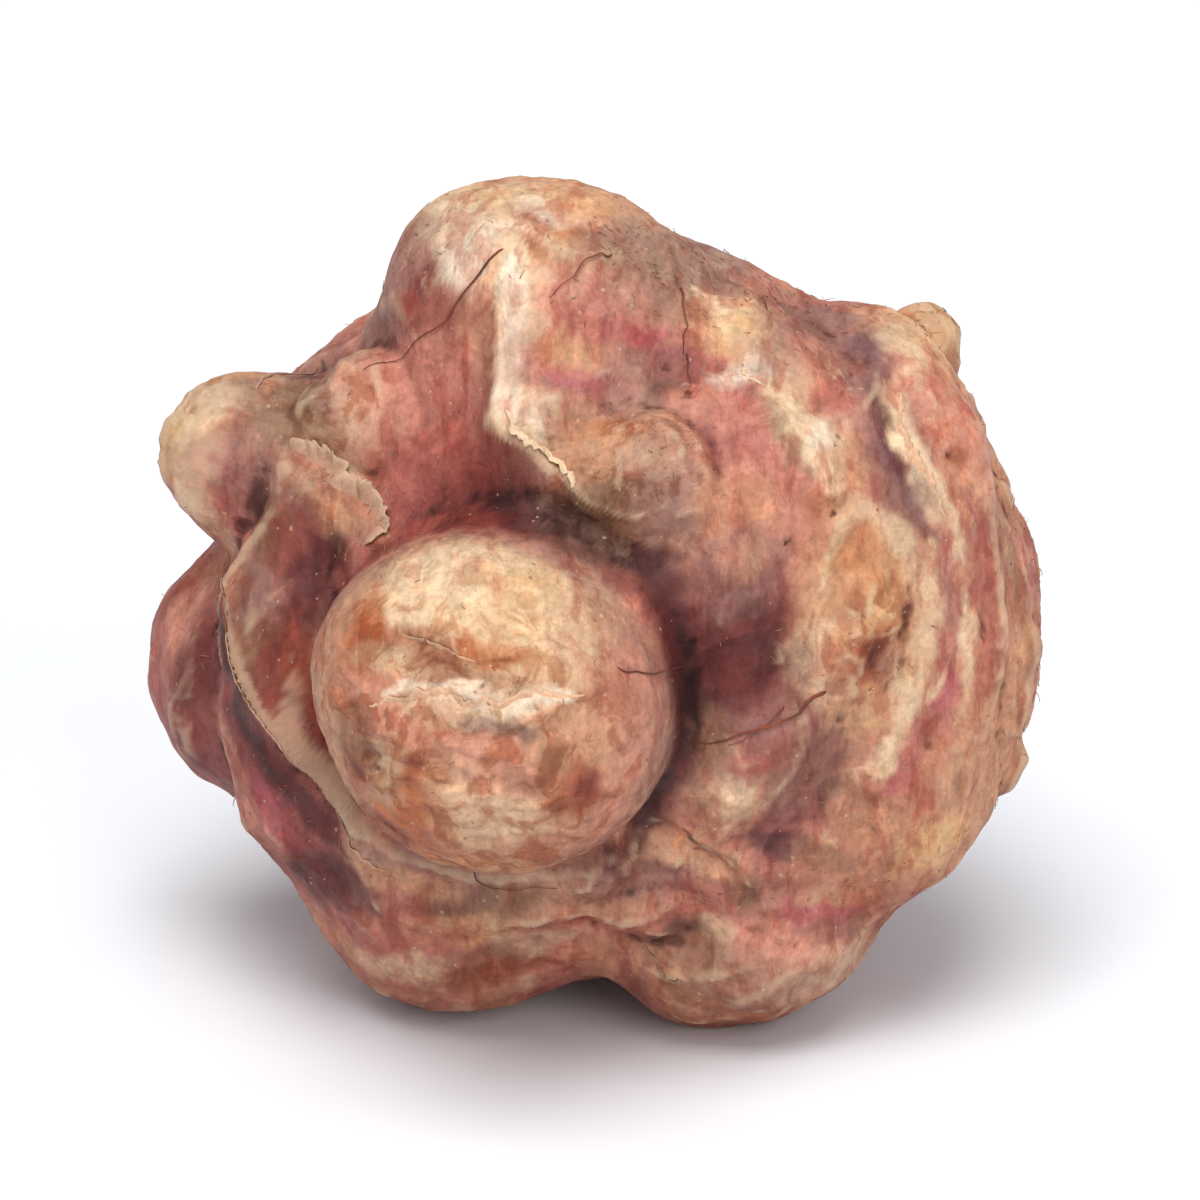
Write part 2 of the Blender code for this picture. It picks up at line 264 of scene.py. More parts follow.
def knob_share(ways, knob):
    """How far each way is from the knob's tip, where 1 is its foot, and the direction across the knob to it."""
    centre, _, along, across = knob_axes(knob)
    flat = np.stack((ways @ along / knob.oval, ways @ across), axis=-1)
    round_flat = np.stack((ways @ along, ways @ across), axis=-1)
    squeeze = np.linalg.norm(flat, axis=-1) / np.maximum(np.linalg.norm(round_flat, axis=-1), 1e-12)
    return angle_from(ways, centre) * squeeze / knob_foot(knob), unit(flat)


def make_room(ways, knob):
    """Crowds the ways round a knob's centre: the angle from it is stretched so that the knob's foot, at the end
    of its long skin, comes back to the foot's own angle, and nothing moves past twice as far."""
    centre = facing(knob.azimuth, knob.elevation)
    foot = knob_foot(knob)
    roomy = foot * np.radians(knob.turn) / np.sin(np.radians(knob.turn))
    angles = (0.0, roomy, 2.0 * roomy, np.pi), (0.0, foot, 2.0 * roomy, np.pi)
    return swing(ways, centre, np.interp(angle_from(ways, centre), *angles))


def raise_knob(points, ways, knob):
    """Moves the points within a knob's foot onto its ball: at `turn * share` from the tip, the ball's radius
    times the sine gives the way out from the axis, and the drop from the tip is one less the cosine."""
    centre, axis, along, across = knob_axes(knob)
    share, flat = knob_share(ways, knob)
    radius = knob.radius * MM
    length = radius * knob.stretch
    turn = np.radians(knob.turn)
    body = body_radius(centre)
    tip = length * (1.0 - np.cos(turn)) - body * (1.0 - np.cos(knob_foot(knob)))
    turned = np.minimum(share * turn, np.pi)
    sideways = flat[:, :1] * along * knob.oval + flat[:, 1:] * across
    sideways -= (sideways @ axis)[:, None] * axis
    up = tip - length * (1.0 - np.cos(turned))
    up -= knob.eye * MM * bell(turned * radius / EYE_RADIUS)
    ball = centre * body + axis * up[:, None] + sideways * (radius * np.sin(turned))[:, None]
    on_knob = 1.0 - smooth_step(1.0 - knob.soft, 1.0 + knob.soft, share)
    worn = 0.6 + 1.0 * noise(ways, RING_WEAR, int(knob.radius * 10))
    ring = knob.collar * bell((share - COLLAR_AT) / COLLAR_WIDTH) - knob.moat * bell((share - MOAT_AT) / MOAT_WIDTH)
    ring = ways * (ring * MM * worn * (1.0 - on_knob))[:, None]
    return points + on_knob[:, None] * (ball - points) + ring


print("the front knob's foot is", np.degrees(knob_foot(KNOBS["front"])).round(1), "degrees wide from its axis")

# %% The folds


@dataclass
class Fold:
    """A line where one growth ring's skin ends in a lip over the next. It is higher on the left of its way."""

    way: tuple  # (azimuth, elevation) points
    lip: float = 0.5  # mm, the drop at the line
    crest: float = 0.4  # mm, the ridge along it
    width: float = 1.6  # mm


FOLDS = [
    Fold(*row)
    for row in (
        (((-76, 14), (-70, 9), (-64, 4), (-57, -4), (-49, -12), (-45, -20), (-43, -32), (-42, -46), (-38, -58)),
            1.2, 0.5),
        (((-50, 74), (-30, 60), (-24, 50), (-10, 42)), 0.4, 0.7, 2.2),
        (((-24, 50), (-12, 55), (10, 58), (26, 48)), -0.4, 0.3),
        (((52, 76), (49, 64), (46, 57), (42, 51), (43, 44), (45, 36), (43, 28), (36, 20)), -0.5, 0.5, 2),
        (((84, 50), (76, 43), (67, 41), (62, 35), (61, 26), (62, 14), (61, 4), (55, -6), (46, -14)), 0.3, 0.1, 1.2),
        (((80, 38), (76, 26), (72, 14), (69, 2), (61, -10), (48, -24)), -0.4, 0.3),
        (((-95, 46), (-82, 36), (-73, 31), (-57, 28), (-49, 20)), 0.7, 0.5),
        (((-17, -46), (-8, -33), (12, -25), (28, -32), (44, -40)), 0.6),
        (((100, 66), (98, 40), (92, 15), (88, -8), (78, -30), (60, -46)), -0.7),
        (((140, 64), (142, 40), (138, 12), (136, -12), (140, -34)), -0.6),
        (((-128, 62), (-112, 36), (-108, 10), (-112, -16), (-118, -40)), 0.7),
        (((-168, 40), (-172, 4), (-165, -20), (-176, -36)), 0.6),
        (((120, 6), (136, -8), (152, -12), (170, -22), (-168, -24), (-150, -22)), -0.6, 0.5),
        (((112, -30), (130, -36), (150, -40), (168, -34)),),
        (((-70, 66), (-100, 62), (-140, 66), (160, 70), (110, 68)),),
    )
]


def smooth_way(way, steps=12):
    """Unit vectors close together along a smooth curve through the given places (Catmull-Rom)."""
    knots = facing(*np.array(way, float).T)
    knots = np.vstack((2 * knots[0] - knots[1], knots, 2 * knots[-1] - knots[-2]))
    t = np.linspace(0.0, 1.0, steps, endpoint=False)[:, None]
    spans = [
        b + 0.5 * t * (c - a + t * (2 * a - 5 * b + 4 * c - d + t * (3 * (b - c) + d - a)))
        for a, b, c, d in zip(knots, knots[1:], knots[2:], knots[3:])
    ]
    return unit(np.vstack((*spans, knots[-2:-1])))


def left_of(curve):
    """The directions to the left of a curve, one for each of its points."""
    return unit(np.cross(curve, np.gradient(curve, axis=0)))


def beside(ways, places):
    """How far each way is from the smooth curve through the places, in mm, how far to its left, and an arch that
    is 1 over the curve's middle and comes down to its ends."""
    curve = smooth_way(places)
    nearness = ways @ curve.T
    nearest = nearness.argmax(axis=1)
    away = np.arccos(np.clip(nearness.max(axis=1), -1.0, 1.0)) * SPAN
    side = np.einsum("ij,ij->i", ways, left_of(curve)[nearest]) * SPAN
    return away, side, np.sin(np.pi * (nearest + 1) / (len(curve) + 1))


def fold_height(ways, fold):
    """Height in mm that a fold adds: a bell-shaped crest along it, and a lip that fades off to both sides."""
    away, side, arch = beside(ways, fold.way)
    lip = fold.lip * np.tanh(side / (0.5 * fold.width)) * np.exp(-away / (3.0 * fold.width))
    return arch**0.6 * (fold.crest * bell(away / fold.width) + 0.5 * lip)


print(len(KNOBS), "knobs and", len(FOLDS), "folds")

# %% Putting the form together


def wander(ways):
    """Bends the ways a little to and fro, so that no foot or ring on the skin is a true circle."""
    return unit(ways + sum(reach * drift(ways, size, seed, 10) for size, reach, seed in WANDER))


def growing_ways(ways):
    """The ways after wandering, with room made for the skin of each knob that has a neck."""
    ways = wander(ways)
    for knob in KNOBS.values():
        if knob.turn > 90:
            ways = make_room(ways, knob)
    return ways


def form_points(ways):
    """The body with its folds and knobs, for as many unit vectors, with the body's middle at x = y = 0."""
    ways = growing_ways(ways)
    points = ways * body_radius(ways)[:, None]
    bare = np.ones(len(ways))
    for knob in KNOBS.values():
        points = raise_knob(points, ways, knob)
        bare *= smooth_step(0.85, 1.1, knob_share(ways, knob)[0])
    lift = sum(fold_height(ways, fold) for fold in FOLDS) * MM * bare
    for size, height, seed in LUMPS:
        lift += height * noise(points, size, seed)
    return points + ways * lift[:, None] + (0.0, 0.0, BODY_HEIGHT)


trial = form_points(unit(np.random.default_rng(1).normal(size=(20000, 3))))
print("form", (np.ptp(trial, axis=0) / MM).round(1), "mm")

# %% [markdown]
# ## A closed sheet of squares
#
# An icosphere or a globe's rings could carry the skin, but a cube's six sides blown up to a ball give nearly even
# squares with no poles. Most of what is worth seeing faces the front, so the squares are crowded that way.

# %% Six square grids
CELLS = 128  # along each side of the cube; 196,608 triangles in all
CROWDING = 0.24


def ball_of_squares(cells):
    """Unit vectors and faces of six square grids. On each side s and t run from -1 to 1, and a point is the
    side's middle plus tan(s * 45 degrees) and tan(t * 45 degrees) along its edges, divided by its length."""
    t = np.tan(np.linspace(-1.0, 1.0, cells + 1) * np.pi / 4)
    across, up = np.meshgrid(t, t, indexing="ij")
    corner = np.arange(cells * (cells + 1)).reshape(cells, cells + 1)[:, :-1].ravel()
    squares = np.stack((corner, corner + cells + 1, corner + cells + 2, corner + 1), axis=1)
    ways, faces = [], []
    for axis, sign in np.ndindex(3, 2):
        side = np.empty((across.size, 3))
        side[:, axis] = 2 * sign - 1
        side[:, (axis + 1) % 3] = across.ravel()
        side[:, (axis + 2) % 3] = up.ravel()
        faces.append((squares if sign else squares[:, ::-1]) + len(ways) * across.size)
        ways.append(unit(side))
    ways = np.vstack(ways)
    _, first, merged = np.unique((ways * 1e6).round().astype(int), axis=0, return_index=True, return_inverse=True)
    return ways[first], merged.ravel()[np.vstack(faces)]


def crowd(ways, towards, amount):
    """Draws the ways towards one of them: the angle between is less by `amount` times its sine."""
    angle = angle_from(ways, towards)
    return swing(ways, towards, angle - amount * np.sin(angle))


ball_ways, squares = ball_of_squares(CELLS)
skin_ways = crowd(ball_ways, facing(0, 20), CROWDING)
plain_skin = form_points(skin_ways)
middle = np.array((*(node_low + node_high)[:2] / 2, 0.0)) - (
    *(plain_skin.min(axis=0) + plain_skin.max(axis=0))[:2] / 2, -BODY_HEIGHT
)
print(len(ball_ways), "points,", len(squares), "squares; body's middle at", (middle / MM).round(2), "mm")

# %% [markdown]
# ## Fine relief
#
# On top of the form come the things a fingertip feels: papery wrinkles that follow the growth rings, sharp lips
# where skin has torn, hairline cracks and small pits. They are worked out from where a point looks from the
# body's middle, and move it straight out or in, so one function serves the skin and whatever grows on it.

# %% Lips, cracks and pits


@dataclass
class Crack:
    """A hairline split in the skin, with its edges turned up a little."""

    way: tuple
    depth: float = 0.3  # mm
    width: float = 0.45  # mm


@dataclass
class Pit:
    """A small round eye or root scar: a dent with a raised rim."""

    azimuth: float
    elevation: float
    radius: float  # mm
    depth: float  # mm
    rim: float = 0.15  # mm


@dataclass
class Rise:
    """A soft oval swelling of the skin, or a dent where its height is negative."""

    azimuth: float
    elevation: float
    across: float  # mm, half its width
    tall: float  # mm, half its height
    height: float  # mm
    roll: float = 0.0  # degrees from level


RISES = [
    Rise(*row)
    for row in (
        (-43, 46, 6.5, 8, -1.3), (-24, 41, 5, 3, -0.9, -35), (-1, 34, 6, 2.5, -0.9, -10), (24, 13, 4, 4.5, -1.2),
        (16, 8, 2.4, 8, -0.7), (8, -15, 3, 5, -0.8, 40), (28, -9, 5, 5, 0.8), (-54, 10, 1.8, 9, -0.7),
        (62, 49, 4, 3.4, 0.7), (75, 32, 3.5, 6, 0.5), (25, 26, 3.5, 3, 0.5), (34, 43, 4, 4, 0.4), (2, 60, 9, 4, -0.5),
        (-72, 25, 3.6, 8, 3), (-76, 39, 3.5, 3.5, 1.3), (-60, 31, 4, 3, 0.8), (-56, 23, 2.5, 4, -0.8),
        (51, 12, 1.8, 6, 0.6), (38, -16, 2, 6, 0.5, 20), (-88, 58, 6, 6, 1.5), (70, 74, 8, 5, 0.8),
        (95, 28, 5, 8, 0.7), (56, -24, 5, 4, 0.5), (26, -33, 2.4, 2, 0.6, -30), (-2, -31, 7, 2, 0.4),
        (-72, -14, 3.5, 9, 0.8, 30), (-30, -36, 7, 2, 0.5),
    )
]

LIPS = [
    Fold(*row)
    for row in (
        (((-28, 9), (-24, 11), (-18, 13.5), (-14, 12), (-9, 13), (-3, 12), (2, 13)), -0.9, 0.25, 0.5),
        (((-26, 18), (-20, 17), (-15, 15.5), (-9, 16)), 0.5, 0.1, 0.5),
        (((-34, 69), (-27, 64), (-25, 58), (-24.5, 53), (-22, 49), (-16, 47), (-9, 43.5), (-4, 40)), -1.5, 0.7, 1.1),
        (((-22, 52), (-16, 52.5), (-8, 51)), 0, 0.6),
        (((-9, 44), (-7, 40), (-3, 37), (4, 35), (12, 35)), 0.9, 0.1, 0.7),
        (((12, 53), (18, 50), (22, 45), (21, 39), (16, 35)), -0.6, 0.3, 0.8),
        (((84, 57), (74, 48), (63, 40), (58, 33), (56, 25), (57, 17)), 0, -0.2),
        (((70, 42), (64, 39), (61.5, 33), (61.5, 26), (62, 20)), 0.4, 0.2, 0.5),
        (((38, 20), (42, 27), (48, 29.5), (54, 25), (56, 16), (55, 8), (52, 0), (47, -8)), 0, 0.25),
        (((34, 21), (31.5, 13), (32, 5), (36, -2)), -0.6, 0.2, 1.4),
        (((60, 2), (57, -5), (53, -10), (48, -16)), 0, -0.5, 1.5),
        (((38, -4), (41, -10), (41, -17), (35, -24), (27, -25)), -0.25, 0, 1),
        (((10, -15), (14, -18.5), (18, -22), (22, -25), (28, -30), (31, -36)), 0.6, 0.1, 0.5),
        (((8, -38), (13, -39.5), (20, -42)), -0.6, 0.2, 0.7),
        (((-96, 38), (-84, 39), (-77, 37), (-72, 33)), 0.8, 0.2, 0.7),
        (((-74, 12), (-69, 8), (-63, 3.5), (-57, -3), (-51, -9.5)), 0.5, 0.3, 0.5),
        (((-62, -14), (-58, -24), (-50, -34), (-40, -40)), -0.6, 0.2, 1.2),
        (((-24, -38), (-12, -36), (2, -36), (16, -33)), -0.6, 0.3, 1),
        (((30, -44), (38, -42), (48, -38), (58, -34)), 0.5, 0.2, 1),
        (((84, 30), (80, 16), (78, 0), (74, -14)), -0.3, 0.2, 0.7),
        (((74, 30), (71, 18), (70, 4), (66, -8), (60, -18)), -0.3, 0.3, 0.8),
    )
]

CRACKS = [
    Crack(*row)
    for row in (
        (((2, 14), (6, 13.5), (9, 12), (12, 11.5)),), (((6, -2), (3, -8), (0, -13)), 0.2),
        (((-24, 17), (-20, 16.6), (-16, 16), (-12, 15)), 0.2), (((20, 38), (17, 42), (18, 47), (13, 51)), 0.2),
        (((28, -36), (34, -38), (42, -36)), 0.25), (((120, 20), (128, 24), (136, 22)),),
        (((-150, -8), (-142, -4), (-136, -6)),), (((178, 18), (170, 22), (164, 18)),),
        (((66, -34), (60, -38), (54, -44)),),
    )
]

PITS = [
    Pit(*row)
    for row in (
        (45, 8, 2.6, 0.8), (23, 55, 0.8, 0.35), (43, 31, 0.7, 0.35), (34, 29, 0.5, 0.3), (67, 31, 0.7, 0.3),
        (60, 48, 0.6, 0.2), (49, 40, 0.4, 0.25), (-73, 20, 0.9, 0.35), (-62, 62, 0.5, 0.2), (-8, 10, 0.7, 0.25),
        (41, -1, 0.8, 0.25, 0.1), (84, 22, 0.8, 0.3), (120, -12, 1.5, 0.6, 0.3), (176, 22, 1.2, 0.5, 0.2),
        (-142, 4, 0.9, 0.4), (-158, 50, 0.9, 0.4, 0.2), (-100, 50, 0.6, 0.3), (-120, -20, 0.8, 0.4),
        (100, 60, 0.7, 0.3),
    )
]


def rise_height(looks, rise):
    """Height in mm of a rise: its own height times a bell of how far out the point is, in the rise's widths."""
    x, y = across_and_up(looks, rise)
    return rise.height * this_side(looks, rise) * bell(x / rise.across) * bell(y / rise.tall)


def across_and_up(places, mark):
    """How far the places lie to the right of a mark and above it, in mm, turned by its roll."""
    look = facing(mark.azimuth, mark.elevation)
    level = unit(np.cross((0.0, 0.0, 1.0), look))
    upward = np.cross(look, level)
    roll = np.radians(mark.roll)
    flat = unit(places) * SPAN
    return flat @ (level * np.cos(roll) + upward * np.sin(roll)), flat @ (upward * np.cos(roll) - level * np.sin(roll))


def this_side(looks, mark):
    """1 on the mark's side of the tuber and 0 on the other, where the distances to its right and up come again."""
    return smooth_step(0.2, 0.5, looks @ facing(mark.azimuth, mark.elevation))


def crack_height(looks, crack):
    """Height in mm along a crack: a narrow bell downwards, and a lower, wider one upwards on both sides."""
    away, _, arch = beside(looks, crack.way)
    away /= crack.width
    return arch**0.5 * crack.depth * (0.5 * bell(away - 1.7) - bell(away))


def pit_height(looks, pit):
    """Height in mm at a pit: a bell downwards, and a ring that stands up at its radius."""
    away = angle_from(looks, facing(pit.azimuth, pit.elevation)) * SPAN / pit.radius
    return pit.rim * bell((away - 1.0) / 0.35) - pit.depth * bell(away / 0.75)


print(len(LIPS), "lips,", len(CRACKS), "cracks and", len(PITS), "pits")

# %% Wrinkles
RIGHT_END = facing(96, 4)
RING_SPACING, RING_HEIGHT = 2.3, 0.12  # mm, of the growth rings at the right end
LEVEL = 0.12  # mm that the wrinkles are let down, so that the skin is no thicker for them
RAGGED = 0.022  # radians that torn edges stray
ROUGH_KNOBS = ("front", "button", "ear", "left", "corner", "oval_eye", "back_egg", "back_button", "back_left", "under")


def off_knobs(ways, names, start, end):
    """0 within `start` of the way from the tips of the named knobs to their feet, and 1 past `end`."""
    ways = growing_ways(ways)
    return np.prod([smooth_step(start, end, knob_share(ways, KNOBS[name])[0]) for name in names], axis=0)


def corkiness(ways):
    """1 on the tips of the knobs, where the skin is corky and split, and 0 on smooth skin."""
    return 1.0 - off_knobs(ways, ROUGH_KNOBS, 0.45, 0.95)


def wrinkle_height(looks, points, corky):
    """Height in mm of the wrinkles: ridges where a cloud crosses zero, more of them on corky tips, and growth
    rings that run round the right end, bent by the cloud."""
    bent = points + 1.5 * MM * drift(points, 6 * MM, 40)
    ridges = 1.0 - np.abs(cloud(bent, 4.2 * MM, 31)) * 2.0
    fine = 1.0 - np.abs(cloud(bent, 1.7 * MM, 35, 2)) * 2.0
    away = angle_from(looks, RIGHT_END) * SPAN
    phase = away / RING_SPACING + 1.6 * noise(points, 11 * MM, 45) + 0.5 * noise(points, 4 * MM, 46)
    rings = np.sin(2.0 * np.pi * phase) * smooth_step(2.0, 8.0, away)
    rings *= (1.0 - smooth_step(14.0, 30.0, away)) * smooth_step(-0.4, 0.6, noise(points, 5 * MM, 47))
    return (0.32 + 0.1 * corky) * ridges + (0.1 + 0.12 * corky) * fine + RING_HEIGHT * rings


def relief(looks, points, corky):
    """All fine heights together, in metres."""
    ragged = unit(looks + RAGGED * np.stack([cloud(points, 3.5 * MM, 51 + 5 * k, 2) for k in range(3)], axis=1))
    height = wrinkle_height(looks, points, corky) - LEVEL
    for marks, height_of, at in (
        (LIPS, fold_height, ragged),
        (CRACKS, crack_height, ragged),
        (PITS, pit_height, looks),
        (RISES, rise_height, looks),
    ):
        height += sum(height_of(at, mark) for mark in marks)
    return height * MM


def skin_points(ways):
    """Points of the finished skin in the model's own place, with the feet pressed flat on z = 0."""
    points = form_points(ways) + (middle - (0.0, 0.0, BODY_HEIGHT))
    looks = unit(points - middle)
    points += looks * relief(looks, points, corkiness(ways))[:, None]
    points[:, 2] = np.maximum(points[:, 2], 0.0)
    return points


skin_place = skin_points(skin_ways)
print("skin", (np.ptp(skin_place, axis=0) / MM).round(1), "mm")

# %% Make the mesh


def mesh_object(name, points, faces):
    """A smooth-shaded mesh object with its place in its mesh."""
    mesh = bpy.data.meshes.new(name)
    mesh.from_pydata(points, [], faces)
    mesh.shade_smooth()
    made = bpy.data.objects.new(name, mesh)
    bpy.context.scene.collection.objects.link(made)
    print(name, len(mesh.vertices), "points", sum(len(f.vertices) - 2 for f in mesh.polygons), "triangles")
    return made


skin = mesh_object("skin", skin_place, squares)
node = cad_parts["tuber"]
gaps = [(node.closest_point_on_mesh(Vector(p))[1] - Vector(p)).length / MM for p in skin_place[::400]]
print("skin to solid: mean", round(float(np.mean(gaps)), 2), "mm, most", round(max(gaps), 2), "mm")

# %% [markdown]
# ## Where the skin is hollow
#
# Soil and dark colour stay in the valleys, and ridges are rubbed pale; the hollow masks also lay painted shade in
# the valleys and painted light on the ridges. A point is in a hollow when the average of the points round it lies
# outside it, so the skin is averaged with its neighbours many times over, and the move is measured along the normal.

# %% Hollows


def averaged(values, edges, times):
    """Each value replaced by the mean of its neighbours' values, and that again `times` times."""
    count = np.bincount(edges.ravel(), minlength=len(values))
    for _ in range(times):
        columns = [
            np.bincount(edges[:, 0], v[edges[:, 1]], len(v)) + np.bincount(edges[:, 1], v[edges[:, 0]], len(v))
            for v in values.T
        ]
        values = np.stack(columns, axis=1) / count[:, None]
    return values


def hollow_depth(times):
    """Depth in mm of each point below the average of the points round it, along the normal."""
    return np.einsum("ij,ij->i", averaged(skin_place, edges, times) - skin_place, normals) / MM


edges = np.empty((len(skin.data.edges), 2), np.int32)
skin.data.edges.foreach_get("vertices", edges.ravel())
normals = np.empty(skin_place.shape)
skin.data.vertices.foreach_get("normal", normals.ravel())
fine_hollow, wide_hollow = hollow_depth(4), hollow_depth(90)
for name, hollow in (("fine", fine_hollow), ("wide", wide_hollow)):
    print(name, "hollows, 5th to 95th percentile:", np.percentile(hollow, (5, 25, 50, 75, 95)).round(3), "mm")

# %% [markdown]
# ## Paint
#
# The skin has no one colour: it is cream and tan on the corky knobs, pink where it is young, and wine red down in
# the valleys. A painter would lay on pigments patch by patch and let them run together, and so does this. Colours
# are given as they look on a screen, and turned to light by the usual curve.

# %% Pigments
STUDIO = 1.2  # how much brighter the studio makes what faces the lamp than its own colour


def light(*screen):
    """Light from screen values: each is divided by 255 and raised as the sRGB curve says."""
    c = np.array(screen) / 255.0
    return np.where(c <= 0.04045, c / 12.92, ((c + 0.055) / 1.055) ** 2.4)


SEEN = {  # how each pigment looks on a screen, in this studio
    "pale": (252, 232, 206), "cream": (244, 211, 172), "straw": (230, 186, 134), "peach": (232, 178, 140),
    "tan": (214, 158, 121), "buff": (192, 146, 118), "olive": (130, 96, 70), "orange": (192, 104, 56),
    "rust": (158, 74, 44), "brown": (126, 74, 50), "umber": (62, 36, 32), "salmon": (222, 152, 128),
    "pink": (206, 134, 116), "magenta": (188, 92, 104), "rose": (182, 100, 90), "wine": (142, 66, 57),
    "deep wine": (92, 34, 34), "mauve": (160, 113, 104), "purple": (122, 82, 82), "grey": (172, 138, 122),
}
PIGMENTS = {name: light(*screen) / STUDIO for name, screen in SEEN.items()}
print(len(PIGMENTS), "pigments")

# %% Patches and strokes


@dataclass
class Patch:
    """A blot of one pigment with ragged, run edges."""

    pigment: str
    azimuth: float
    elevation: float
    across: float  # mm, half its width
    tall: float  # mm, half its height
    strength: float = 0.6
    roll: float = 0.0  # degrees that it is turned from level
    soft: float = 0.45


@dataclass
class Stroke:
    """A band of one pigment along a way."""

    pigment: str
    way: tuple
    width: float  # mm, half of it
    strength: float = 0.6
    soft: float = 0.5


